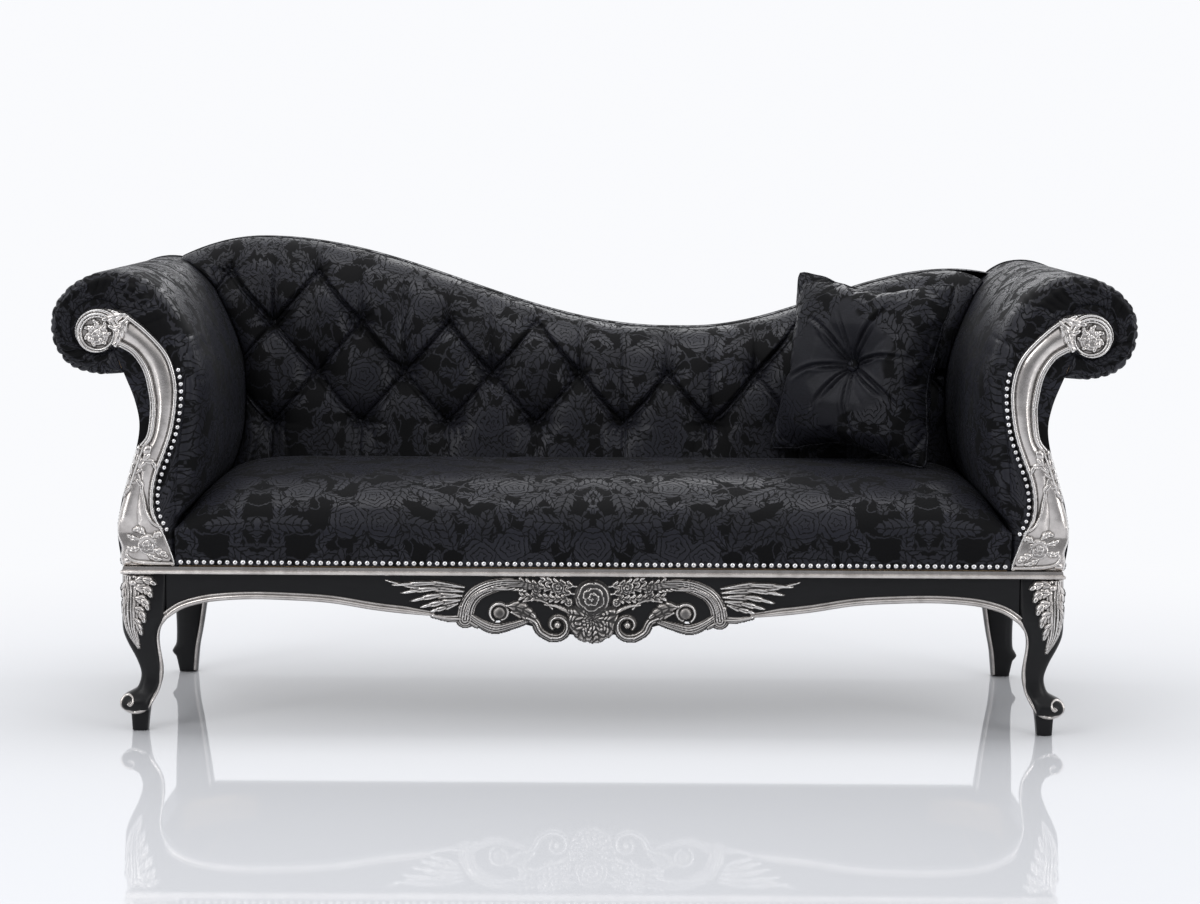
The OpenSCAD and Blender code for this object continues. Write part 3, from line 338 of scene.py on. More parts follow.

# %% [markdown]
# ## Silver leaf, lacquer and the hidden finishes
# Silver leaf is laid on carved wood, rubbed through on the ridges and glazed dark in the hollows,
# and on top of that the hollows carry painted shade and the ridges a painted highlight. Each
# carved piece carries that depth as an attribute, so the glaze and the painted shade sit where a
# brush would leave the glaze. The lacquer is black and close-grained. Timber, jute,
# foam and dust cloth are seen only from below or not at all, but are finished too.

# %% Silver leaf
def silver_leaf(name, bright=1.0, glaze_shade_strength=1.0):
    leaf = Finish(name)
    spot = leaf.spot()
    # The carved pieces' attribute: above 0 in the hollows, for glaze and painted shade; below 0
    # on the ridges, for a painted highlight.
    depth = leaf.attribute("hollow")
    hollow, ridge_highlight = depth.larger(0.0), (depth * -1.0).larger(0.0)
    cloud = leaf.noise(spot, 34.0, 4.0, 0.6)
    fleck = leaf.noise(spot, 260.0, 3.0, 0.6)
    crack = leaf.noise(spot, 90.0, 5.0, 0.7)
    # Real glaze and painted shade in the hollows, darker with the strength argument.
    glaze_shade_amount = (hollow * (cloud * 0.7 + 0.75) * glaze_shade_strength).smaller(1.0)
    rubbed = leaf.mix(cloud.step(0.35, 0.75), (0.66 * bright, 0.625 * bright, 0.60 * bright),
                      (0.47 * bright, 0.44 * bright, 0.42 * bright))
    aged = leaf.mix((crack.step(0.60, 0.78)) * 0.35, rubbed, (0.20, 0.175, 0.15))
    # Rubbed ridges, lightened further as a painted highlight.
    burnished_highlight = leaf.mix(ridge_highlight * 0.8, aged, (0.80, 0.79, 0.78))
    tone = leaf.mix(glaze_shade_amount * 0.95, burnished_highlight, (0.016, 0.015, 0.015))
    rough = 0.11 + cloud * 0.12 + fleck * 0.05 + glaze_shade_amount * 0.34 - ridge_highlight * 0.04
    metal = 0.96 - glaze_shade_amount * 0.55
    bump = leaf.bump(cloud * 0.6 + fleck * 0.4 + crack * 0.3, 0.0006, 0.35)
    return leaf.surface(Base_Color=tone, Roughness=rough, Metallic=metal, Normal=bump)


SILVER = silver_leaf("silver_leaf")
SILVER_DARK = silver_leaf("silver_leaf_dark", 0.92, 1.3)
print("silver leaf, plain and dark")

# %% Lacquer, nickel, timber, jute, foam and cloth
def black_lacquer():
    coat = Finish("black_lacquer")
    spot = coat.spot()
    x, y, z = coat.place()
    grain = coat.noise(coat.join(x * 22.0, y * 140.0, z * 140.0), 1.0, 4.0, 0.6)
    cloud = coat.noise(spot, 9.0, 3.0)
    rub = coat.noise(spot, 60.0, 3.0)
    tone = coat.mix(grain * 0.5 + cloud * 0.3, (0.0060, 0.0060, 0.0066),
                    (0.014, 0.014, 0.0155))
    rough = 0.24 + grain * 0.12 + rub * 0.08
    return coat.surface(Base_Color=tone, Roughness=rough, Specular_IOR_Level=0.22,
                        Normal=coat.bump(grain * 0.7 + rub * 0.3, 0.0004, 0.35))


def nickel():
    metal = Finish("nickel")
    spot = metal.spot()
    cloud = metal.noise(spot, 120.0, 2.0)
    scratch = metal.noise(spot, 1400.0, 2.0)
    tone = metal.mix(cloud.step(0.3, 0.7), (0.80, 0.80, 0.82), (0.62, 0.61, 0.61))
    return metal.surface(Base_Color=tone, Metallic=1.0,
                         Roughness=0.14 + cloud * 0.12 + scratch * 0.06)


def timber():
    wood = Finish("timber")
    x, y, z = wood.place()
    long_grain = wood.noise(wood.join(x * 5.0, y * 60.0, z * 60.0), 1.0, 5.0, 0.6)
    ring = ((y * 170.0 + z * 150.0 + long_grain * 9.0).sin() * 0.5 + 0.5)
    fleck = wood.noise(wood.join(x * 60.0, y * 900.0, z * 900.0), 1.0, 2.0)
    tone = wood.mix(ring * 0.6 + fleck * 0.3, (0.60, 0.43, 0.25), (0.40, 0.26, 0.13))
    return wood.surface(Base_Color=tone, Roughness=0.55 + fleck * 0.2,
                        Normal=wood.bump(ring * 0.4 + fleck, 0.0003, 0.4))


def woven(name, tone_a, tone_b, pitch, rough):
    """A plain weave: threads over and under in two directions."""
    weave = Finish(name)
    x, y, _ = weave.place()
    over = (x * (math.pi / pitch)).sin() * (y * (math.pi / pitch)).sin()
    fuzz = weave.noise(weave.spot(), 500.0, 3.0)
    tone = weave.mix(over * 0.35 + fuzz * 0.6, tone_a, tone_b)
    return weave.surface(Base_Color=tone, Roughness=rough + fuzz * 0.1,
                         Normal=weave.bump(over * 0.6 + fuzz * 0.4, 0.0006, 0.6))


def steel():
    metal = Finish("zinc_steel")
    cloud = metal.noise(metal.spot(), 300.0, 3.0)
    tone = metal.mix(cloud, (0.55, 0.55, 0.54), (0.40, 0.40, 0.41))
    return metal.surface(Base_Color=tone, Metallic=1.0, Roughness=0.30 + cloud * 0.2)


def foam():
    cells = Finish("foam")
    pore = cells.node("ShaderNodeTexVoronoi", values={"Vector": cells.spot(),
                                                      "Scale": 700.0})
    age = cells.noise(cells.spot(), 8.0, 2.0)
    tone = cells.mix(age, (0.80, 0.72, 0.48), (0.86, 0.80, 0.60))
    return cells.surface(Base_Color=tone, Roughness=0.85 + pore * 0.1,
                         Normal=cells.bump(pore, 0.0008, 0.5))


def glide_plastic():
    plastic = Finish("glide_plastic")
    scuff = plastic.noise(plastic.spot(), 180.0, 3.0)
    tone = plastic.mix(scuff, (0.018, 0.018, 0.018), (0.045, 0.044, 0.042))
    return plastic.surface(Base_Color=tone, Roughness=0.42 + scuff * 0.25,
                           Normal=plastic.bump(scuff, 0.0002, 0.3))


LACQUER = black_lacquer()
NICKEL = nickel()
FINISHES = {
    "black_lacquer": LACQUER, "silver_leaf": SILVER, "nickel": NICKEL,
    "timber": timber(), "steel": steel(), "foam": foam(), "damask": DAMASK_BACK,
    "glide": glide_plastic(),
    "jute": woven("jute", (0.34, 0.25, 0.13), (0.55, 0.44, 0.26), 0.0016, 0.8),
    "dust_cloth": woven("dust_cloth", (0.012, 0.012, 0.012), (0.03, 0.03, 0.03), 0.0009, 0.85)}
slot_of = {part["node"]: part["material_slot"] for part in frame["record"]["subparts"]}
for name, thing in frame["nodes"].items():
    if not thing.material_slots:
        thing.data.materials.append(None)
    for holder in thing.material_slots:
        holder.material = FINISHES[slot_of[name]]
print("finished", len(frame["nodes"]), "nodes in", len(FINISHES), "materials")

# %% [markdown]
# ## Curves and meshes
# Most outlines here are curves through a few listed points. A Catmull-Rom curve goes through
# every point, which makes it easy to read an outline off the real thing. Numbers are in
# millimetres, and `make` turns them into a mesh in metres, closed and facing out.

# %% Curves
def smooth(points, steps):
    """A curve through the points, with so many steps between two of them."""
    p = np.asarray(points, float)
    a, b, c, d = (np.vstack([p[:1], p[:-2]]), p[:-1], p[1:], np.vstack([p[2:], p[-1:]]))
    t = (np.arange(steps) / steps)[None, :, None]
    a, b, c, d = (q[:, None, :] for q in (a, b, c, d))
    curve = 0.5 * (2 * b + (c - a) * t + (2 * a - 5 * b + 4 * c - d) * t ** 2
                   + (3 * b - a - 3 * c + d) * t ** 3)
    return np.vstack([curve.reshape(-1, p.shape[1]), p[-1:]])


def spiral(centre, r0, r1, a0, a1, count):
    s = np.linspace(0, 1, count + 1)
    angle, radius = np.radians(a0 + (a1 - a0) * s), r0 + (r1 - r0) * s
    return np.stack([radius * np.cos(angle), radius * np.sin(angle)], 1) + centre


def length_along(path):
    return np.concatenate([[0], np.cumsum(np.linalg.norm(np.diff(path, axis=0), axis=1))])


def even(path, count):
    """The same path with count points at even steps."""
    run = length_along(path)
    places = np.linspace(0, run[-1], count)
    return np.stack([np.interp(places, run, path[:, k]) for k in range(path.shape[1])], 1)


def beside(path, shift):
    """A path that runs a distance to the left of another one."""
    way = np.gradient(path, axis=0)
    way /= np.linalg.norm(way, axis=1)[:, None] + 1e-9
    return path + shift * np.stack([-way[:, 1], way[:, 0]], 1)


def unit(t):
    return np.clip(t, 0, 1)


def bell(away, width):
    """1 where away is 0, and next to nothing beyond two widths."""
    return np.exp(-(away / width) ** 2)


def rise(t):
    return np.sqrt(1 - (1 - unit(t)) ** 2)


def ease(t):
    t = unit(t)
    return t * t * (3 - 2 * t)


print("curve helpers ready")

# %% Meshes
collection = bpy.context.scene.collection


def grid_faces(rows, columns, start=0, wrap=False):
    """Quads between the points of a grid, row by row. wrap joins the last row's end."""
    across = columns if wrap else columns - 1
    r, c = np.meshgrid(np.arange(rows - 1), np.arange(across), indexing="ij")
    d = (c + 1) % columns
    quads = np.stack([r * columns + c, r * columns + d, (r + 1) * columns + d,
                      (r + 1) * columns + c], -1).reshape(-1, 4) + start
    return quads.tolist()


def listed(*groups):
    """Points of several grids, one grid after the other. A grid is (x, y, z) or (u, v), and
    its parts are stretched to one size."""
    return np.vstack([np.stack(np.broadcast_arrays(*group), -1).reshape(-1, len(group))
                      for group in groups])


def rim_of(count_x, count_y):
    """The places on the edge of a grid, once round."""
    place = np.arange(count_x * count_y).reshape(count_x, count_y)
    return np.concatenate([place[:-1, 0], place[-1, :-1], place[:0:-1, -1], place[0, :0:-1]])


def two_skins(rows, columns):
    """Faces of a thick sheet: two equal grids back to back, and a wall round the rim."""
    count = rows * columns
    rim = rim_of(rows, columns).tolist()
    return (grid_faces(rows, columns)
            + [face[::-1] for face in grid_faces(rows, columns, start=count)]
            + [[a, a + count, b + count, b] for a, b in zip(rim, rim[1:] + rim[:1])])


def make(name, points, faces, finish, body="frame", cloth=None, hollow=None,
         flat=False):
    """One closed piece, from points in millimetres, that rides on a body."""
    mesh = bpy.data.meshes.new(name)
    mesh.from_pydata((np.asarray(points, float) * MM).tolist(), [], faces)
    mesh.polygons.foreach_set("use_smooth", [not flat] * len(mesh.polygons))
    if cloth is not None:
        corner = np.empty(len(mesh.loops), np.int32)
        mesh.loops.foreach_get("vertex_index", corner)
        layer = mesh.uv_layers.new(name="cloth")
        layer.data.foreach_set("uv", (np.asarray(cloth) * MM)[corner].ravel())
    if hollow is not None:
        depth = mesh.attributes.new("hollow", "FLOAT", "POINT")
        depth.data.foreach_set("value", np.asarray(hollow, np.float32).ravel())
    mesh.validate()
    mesh.calc_loop_triangles()
    corners = np.empty(len(mesh.loop_triangles) * 3, np.int32)
    mesh.loop_triangles.foreach_get("vertices", corners)
    a, b, c = spots_of(mesh)[corners.reshape(-1, 3)].transpose(1, 0, 2)
    if np.einsum("ij,ij->", a, np.cross(b, c)) < 0:
        mesh.flip_normals()
    mesh.materials.append(finish)
    made = bpy.data.objects.new(name, mesh)
    collection.objects.link(made)
    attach(made, body)
    return made


def spots_of(mesh):
    """The points of a mesh in metres, one to a row."""
    spots = np.empty(len(mesh.vertices) * 3)
    mesh.vertices.foreach_get("co", spots)
    return spots.reshape(-1, 3)


def modified(thing):
    """A new mesh of an object with its modifiers applied."""
    graph = bpy.context.evaluated_depsgraph_get()
    return bpy.data.meshes.new_from_object(thing.evaluated_get(graph))


def told(*pieces):
    for one in pieces:
        print(one.name, len(one.data.vertices), "points")


print("mesh helpers ready")

# %% [markdown]
# ## The outline of the arms and the back
# The arm is an S with a roll on top, drawn here from the front for the left one. The back
# falls from its high end in one wave, dips, and rises a little to the other arm. Both
# curves are used again by the facing, the nails, the piping and the back.

# %% Outlines
arm_skin = smooth([[-99, 3], [-98, 74], [-123, 110], [-143, 140], [-160, 200],
    [-163, 270], [-159, 335], [-144, 392], [-119, 447], [-84, 500], [-40, 534],
    [2, 545], [45, 540], [88, 519], [118, 484], [127, 443], [118, 400], [90, 367],
    [45, 354], [14, 355], [-9, 357]], 12)
arm_front = smooth([[-99, 3], [-99, 74], [-103, 105], [-104, 135], [-108, 200],
    [-117, 270], [-124, 335], [-118, 388], [-103, 432], [-76, 480], [-36, 517],
    [4, 534], [42, 531], [83, 511], [111, 480], [120, 443], [111, 405], [84, 375],
    [42, 363], [14, 362], [-9, 360]], 12)
arm_core = np.vstack([[[-4, 366]], spiral((38, 443), 50, 50, -125, 165, 14),
    smooth([[-26, 432], [-66, 370], [-88, 312], [-96, 258], [-84, 195], [-62, 120],
    [-54, 70], [-58, 30], [-62, 3]], 2)])[::-1]
HIGH_X, LOW_X = -690, 740
DIP_FROM, DIP_TO = LOW_X - 590, LOW_X - 550
BACK_WIDE, STRAIGHT, ARM_GAP = 857, 620, 2.5
inner_side = arm_skin[arm_skin[:, 0] <= -10]
inner_side = inner_side[:np.argmax(inner_side[:, 1]) + 1]


def wave(s):
    return (1 - np.cos(np.pi * unit(s))) / 2


def crest(x):
    """Height of the back's top over the deck."""
    x = np.asarray(x, float)
    fall = BACK_H - (BACK_H - DIP_H) * wave((x - HIGH_X) / (DIP_FROM - HIGH_X))
    lift = DIP_H + (LOW_H - DIP_H) * wave((x - DIP_TO) / (LOW_X - DIP_TO))
    high_end = BACK_H - 43 * ((HIGH_X - x) / 172) ** 2
    low_end = LOW_H - 21 * ((x - LOW_X) / 122) ** 2
    return np.where(x < HIGH_X, high_end,
                    np.where(x < DIP_TO, fall, np.where(x < LOW_X, lift, low_end)))


def between_arms(up):
    """Half the width that the arms leave for the back at a height."""
    room = np.minimum(BACK_WIDE, RAIL_HALF + inner_side[:, 0])
    width = np.interp(up, inner_side[:, 1], room)
    return np.where(up > inner_side[-1, 1], BACK_WIDE, width)


def drawn_in(x, up):
    """The back's columns stand straight in the middle and draw in beside the arms."""
    wide = between_arms(up) - ARM_GAP
    beyond = (np.abs(x) - STRAIGHT) * (wide - STRAIGHT) / (BACK_WIDE - STRAIGHT)
    return np.where(np.abs(x) <= STRAIGHT, x, np.sign(x) * (STRAIGHT + beyond))


print("crest from", crest(HIGH_X), "to", crest(DIP_FROM))

# %% [markdown]
# ## The buttoned back
# Deep buttoning pulls the cloth to the boards at each button. The spare cloth between two
# buttons is folded into a pleat, which shows as a sharp crease with a second line below it.
# Cloth simulation could grow this from a flat sheet, but folds that fine need many frames,
# so the relief is written as a rule: a puffed diamond, a narrow crease on each diagonal, a
# pit at each button, and plain upright pleats above the top buttons and below the lowest.

# %% Buttons and pleats
PITCH, ROW, FIRST_ROW = 178, 100, 219
BUTTON_X = HIGH_X + 124
buttons = []
for k in range(4):
    for i in range(-2, 10):
        x, up = BUTTON_X + (0 if k % 2 else PITCH / 2) + i * PITCH, FIRST_ROW + k * ROW
        if crest(x) - up > 27 and abs(x) < between_arms(up) - 30:
            buttons.append((x, up))
buttons = np.array(buttons)
columns = np.arange(-6, 20) * PITCH / 2 + BUTTON_X
top_button = np.array([max([b[1] for b in buttons if abs(b[0] - x) < 1] or [0])
                       for x in columns])
known = top_button > 0
columns, top_button = columns[known], top_button[known]


def tuft(x, up):
    """How far the cloth is drawn in at x and up, in millimetres."""
    u, v = (x - BUTTON_X) / PITCH, (up - FIRST_ROW - ROW) / (2 * ROW)
    slope = math.hypot(1 / PITCH, 0.5 / ROW)
    fall = (u + v - np.round(u + v)) / slope
    climb = (u - v - np.round(u - v)) / slope
    puff = np.abs(np.sin(np.pi * (u + v)) * np.sin(np.pi * (u - v))) ** 0.5
    crease = (7.0 * bell(fall, 2.8) + 7.0 * bell(climb, 2.8)
              + 4.4 * bell(fall + 9.5, 2.6)
              + 4.4 * bell(climb - 9.5, 2.6)
              - 2.4 * bell(fall + 5.0, 2.4)
              - 2.4 * bell(climb - 5.0, 2.4))
    diamond = 16 * (1 - puff) + crease
    half = PITCH / 2
    beside_line = (u * 2 - np.round(u * 2)) * half
    upright = 13 * (1 - np.abs(np.sin(np.pi * u * 2)) ** 0.6) \
        + 4.5 * bell(beside_line, 2.6) \
        + 1.8 * bell(beside_line - 8.0, 2.2)
    fan = (u - 0.5 - np.round(u - 0.5)) * PITCH
    hanging = 12 * (1 - np.abs(np.sin(np.pi * (u - 0.5))) ** 0.6) \
        + 4.0 * bell(fan, 2.8) \
        + 1.6 * bell(np.abs(fan) - 22 - (FIRST_ROW - up) * 0.25, 4.0)
    over = ease((up - np.interp(x, columns, top_button)) / 14)
    under = ease((FIRST_ROW - up) / 12)
    fade = 1 - ease((FIRST_ROW - 45 - up) / 75)
    depth = diamond * (1 - over) * (1 - under) + upright * over + hanging * under * fade
    pit = np.zeros_like(depth)
    for bx, bu in buttons:
        away = np.hypot(x - bx, up - bu)
        turn = np.arctan2(up - bu, x - bx)
        star = 1 + 0.16 * np.cos(9 * turn + bx) * bell(away - 19, 10)
        pit = np.maximum(pit, 18 * bell(away, 30) * star
                         + 3.0 * bell(away, 9))
    return depth + pit


def padding(x, up):
    """Y of the padding's face before it is buttoned, and how full it is there, 0 to 1."""
    full = rise((crest(x) - up) / 130)
    return plane_y(up, BOARD_FACE) - 10 - GAP - (PAD_T - 10) * full, full


print(len(buttons), "buttons; crease at", round(float(tuft(np.array(0.0), np.array(300.0))), 1))

# %% Back cover
NX, NY, COVER_FOOT = 580, 200, 48


def strip_backed(count_x, count_y):
    """Faces of a fine front grid with a rim and a flat rear of one strip a column."""
    rim = rim_of(count_x, count_y)
    m, start = len(rim), count_x * count_y
    faces = grid_faces(count_x, count_y)
    faces += [[rim[i], rim[(i + 1) % m], start + (i + 1) % m, start + i] for i in range(m)]
    foot = [start + i for i in range(count_x)]
    head = [start + count_x + count_y - 2 + i for i in range(count_x)][::-1]
    for i in range(1, count_x - 2):
        faces.append([foot[i], foot[i + 1], head[i + 1], head[i]])
    faces.append([foot[-2]] + [start + i for i in range(count_x - 1, count_x + count_y - 1)]
                 + [head[-2]])
    faces.append([foot[1], head[1]]
                 + [start + i for i in range(2 * count_x + count_y - 3, m)] + [foot[0]])
    return [[int(v) for v in face] for face in faces]


straight_x = np.linspace(-BACK_WIDE, BACK_WIDE, NX)[:, None]
gup = COVER_FOOT + (crest(straight_x) - COVER_FOOT) * (
    1 - (1 - np.linspace(0, 1, NY)[None, :]) ** 1.25)
gx = drawn_in(straight_x + 0 * gup, gup)
plain, full = padding(gx, gup)
sewn_side = 22 * (1 - rise((between_arms(gup) - np.abs(gx)) / 50))
gy = plain + full * (tuft(gx, gup) + sewn_side)
along = np.cumsum(np.hypot(np.diff(gup, axis=1, prepend=gup[:, :1]),
                           np.diff(gy, axis=1, prepend=gy[:, :1])), axis=1)
along -= np.take_along_axis(along, np.argmin(np.abs(gup - 300), axis=1)[:, None], 1)
cloth = listed((gx + 60, along + 130))
rim = rim_of(NX, NY)
edge_up, edge_x = gup.ravel()[rim], gx.ravel()[rim]
points = listed((gx, gy, DECK + gup),
                (edge_x, plane_y(edge_up, BOARD_FACE) - GAP, DECK + edge_up))
back_cover = make("back_cover", points, strip_backed(NX, NY), DAMASK,
                  cloth=np.vstack([cloth, cloth[rim]]))
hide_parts("back_padding")
told(back_cover)

# %% [markdown]
# ## The padded arms
# An arm is cloth over wadding, wrapped round the boards and nailed to the front round the
# carved facing. The skin is swept from front to back, the front edge is a rounded rim that
# stands a little forward, and the cloth is gathered where it turns round the roll. Each
# column of the sweep is one line of the outline, so the cloth map follows the wrap.

# %% Arm covers
N_ARM = 300
skin = even(arm_skin, N_ARM)
share = np.linspace(0, 1, N_ARM)
run = length_along(arm_skin) / length_along(arm_skin)[-1]
front_ring = np.stack([np.interp(share, run, arm_front[:, k]) for k in (0, 1)], 1)
core_run = np.interp(share, np.linspace(0, 1, len(arm_core)), np.arange(len(arm_core)))
core = np.stack([np.interp(core_run, np.arange(len(arm_core)), arm_core[:, k])
                 for k in (0, 1)], 1)
arc = length_along(skin)
gather = ease((share - 0.30) / 0.2) * (1 - ease((share - 0.93) / 0.07)) + 0.25
folds = np.zeros(N_ARM)
wide_set, close_set = np.arange(180, 520, 46), np.arange(530, arc[-1] - 30, 19)
crease_at = np.concatenate([wide_set + rng.uniform(-9, 9, len(wide_set)),
                            close_set + rng.uniform(-5, 5, len(close_set))])
crease_deep = rng.uniform(0.4, 1.0, len(crease_at))
for place, deep in zip(crease_at, crease_deep):
    folds += deep * bell(arc - place, 3.6)
long_folds = np.zeros(N_ARM)
for place in (330, 415, 520, 640, 735, 850):
    long_folds += bell(arc - place, 16)
gap = np.linalg.norm(skin - front_ring, axis=1)
reach = np.clip(2 * gap, 14, 100)
normal = np.gradient(skin, axis=0)
normal = np.stack([-normal[:, 1], normal[:, 0]], 1)
normal /= np.linalg.norm(normal, axis=1)[:, None]


def arm_rows():
    """Rows of the arm's surface, from the facing's edge over the rim to the rear."""
    rows, marks = [], []
    for t in (0, 0.3, 0.5, 0.62, 0.72, 0.80, 0.87, 0.93, 0.97, 1.0):
        flat_point = core + (front_ring - core) * t
        dome = 8.5 * np.sin(np.pi * min(t, 0.86) / 0.86 * 0.5) ** 2
        dome *= 1 - ease((t - 0.84) / 0.2)
        pull = 5.0 * folds * gather * np.sin(np.pi * unit((t - 0.25) / 0.8))
        y = ARM_Y - 0.2 - dome + pull * (t > 0.2)
        rows.append(np.stack([flat_point[:, 0], y, flat_point[:, 1]], 1))
        marks.append(-(1 - t) * 60)
    depths = np.concatenate([[1.2, 3, 5.5, 9, 13, 18, 24, 31, 39, 48, 58, 70, 84, 100],
                             np.arange(116, 500, 14)])
    rear_depth = plane_y(skin[:, 1], PANEL_T) - GAP - ARM_Y
    for s in depths:
        ring = front_ring + (skin - front_ring) * rise(s / reach)[:, None]
        sink = folds * gather * 4.2 * np.exp(-s / 42) * ease(s / 6 + 0.3)
        sink = sink + long_folds * 1.5 * np.exp(-s / 260) * ease(s / 60)
        sink = sink * ease((share - 0.03) / 0.05) * (1 - ease((share - 0.96) / 0.03))
        ring = ring - normal * sink[:, None]
        rows.append(np.stack([ring[:, 0], ARM_Y + s * np.ones(N_ARM), ring[:, 1]], 1))
        marks.append(s)
    for t in np.linspace(0, 1, 8)[1:]:
        s = depths[-1] + (rear_depth - depths[-1]) * t
        rows.append(np.stack([skin[:, 0], ARM_Y + s, skin[:, 1]], 1))
        marks.append(s)
    return rows, marks


rows, marks = arm_rows()
rows.append(np.stack([core[:, 0], plane_y(core[:, 1], PANEL_T) - GAP, core[:, 1]], 1))
marks.append(marks[-1] + 60)
rows = np.array(rows)
cloth = np.stack([np.tile(arc, len(rows)),
                  np.concatenate([np.broadcast_to(mark, N_ARM) for mark in marks])], 1)
faces = grid_faces(len(rows), N_ARM)
last = (len(rows) - 1) * N_ARM
faces += [[last + i, last + i + 1, i + 1, i] for i in range(N_ARM - 1)]
faces.append([k * N_ARM for k in range(len(rows))])
faces.append([k * N_ARM + N_ARM - 1 for k in range(len(rows))][::-1])


def placed_at(side, spots):
    """Points of an arm as (out, y, up) put in their place on one side, as one list."""
    spots = np.asarray(spots).reshape(-1, 3)
    return np.stack([side * (RAIL_HALF + spots[:, 0]), spots[:, 1], DECK + spots[:, 2]], 1)


for side, name in SIDES:
    points = placed_at(side, rows)
    arm = make(name + "_arm_cover", points, faces, DAMASK,
               cloth=cloth * (-side, 1) + (40, 60))
    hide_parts(name + "_arm_padding")
    told(arm)

# %% [markdown]
# ## The tight seat
# The seat's cover is drawn over springs and foam and nailed along the front rail. It has a
# soft front roll and a crown, and sinks a little at its sides. Close to the nails the cloth
# puckers between one nail and the next.

# %% Seat cover
SEAT_X, SEAT_Y, NAIL_PITCH = 772, -349, 14.3


def seat_end(up):
    """Y where the seat's cloth stops, just in front of the back's."""
    return plane_y(up, BOARD_FACE) - PAD_T - 2 * GAP


seat_rear = seat_end(48)
seat_line = smooth([[SEAT_Y, 2], [SEAT_Y, 18], [SEAT_Y - 4, 42], [SEAT_Y - 4, 65],
    [SEAT_Y + 3, 89], [SEAT_Y + 22, 113], [SEAT_Y + 62, 135], [SEAT_Y + 130, 154],
    [SEAT_Y + 230, 162], [SEAT_Y + 330, 163], [seat_rear - 50, 162],
    [seat_rear + 12, 153]], 9)
low_part = np.array([[SEAT_Y, u] for u in (2, 3.5, 5, 7, 9, 11, 13, 15, 17)])
seat_line = np.vstack([low_part, seat_line[seat_line[:, 1] > 18]])
SX, SY = 540, len(seat_line)
sx = np.sin(np.linspace(-1, 1, SX) * 1.45) / math.sin(1.45)
sx = (0.35 * sx + 0.65 * np.linspace(-1, 1, SX)) * SEAT_X
line_y, line_up = seat_line[:, 0], seat_line[:, 1]
X = sx[:, None] + 0 * line_y[None]
shoulder = 1 - np.exp(-(SEAT_X - np.abs(X)) / 42)
UP = np.minimum(line_up, 71) + np.maximum(0, line_up - 71) * shoulder
Y = line_y[None] + 0 * X
Y[:, -1] = seat_end(UP[:, -1])
pucker = 0.9 * np.cos(2 * np.pi * X / NAIL_PITCH) * bell(line_up[None] - 12, 9)
pinned = 1.6 * bell(line_up[None] - 8, 6)
drape = 1.1 * np.sin(X / 61 + 0.6) * np.sin(X / 27) * ease((line_up[None] - 20) / 30) \
    * (1 - ease((line_y[None] - SEAT_Y - 30) / 60))
Y = Y + (pucker + pinned) * (np.arange(SY)[None] > 0) * (line_up[None] < 40) + drape * (
    np.arange(SY)[None] < SY - 1)
UP = UP - 1.2 * bell(X + 210, 190) * ease((line_y[None] - SEAT_Y - 60) / 120)
seat_run = length_along(seat_line)
faces = grid_faces(SX, SY)
base = SX * SY
for i in range(SX - 1):
    faces.append([i * SY + SY - 1, base + i, base + i + 1, (i + 1) * SY + SY - 1][::-1])
    faces.append([base + i, i * SY, (i + 1) * SY, base + i + 1][::-1])
faces.append([base] + list(range(SY - 1, -1, -1)))
faces.append([(SX - 1) * SY + j for j in range(SY)] + [base + SX - 1])
seat_top = make("seat_top", listed((X, Y, DECK + UP), (sx, seat_end(2), DECK + 2)), faces,
                DAMASK, cloth=listed((X, seat_run), (sx, seat_run[-1] + 150)))
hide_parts("seat_cover")
told(seat_top)

# %% [markdown]
# ## Carving as a relief
# Carving on a flat ground is a height at each place, so it can be written as a height map and
# then turned into a mesh. Each motif is a strand along a curve, a boss or a leaf, and a carver's
# rule holds: where two meet, the higher one shows. Heights just below the ground make the
# outlines crisp. What lies lower than its surroundings takes the dark glaze and painted shade,
# and what stands above them a painted highlight.

# %% Relief
whole = np.s_[:, :]


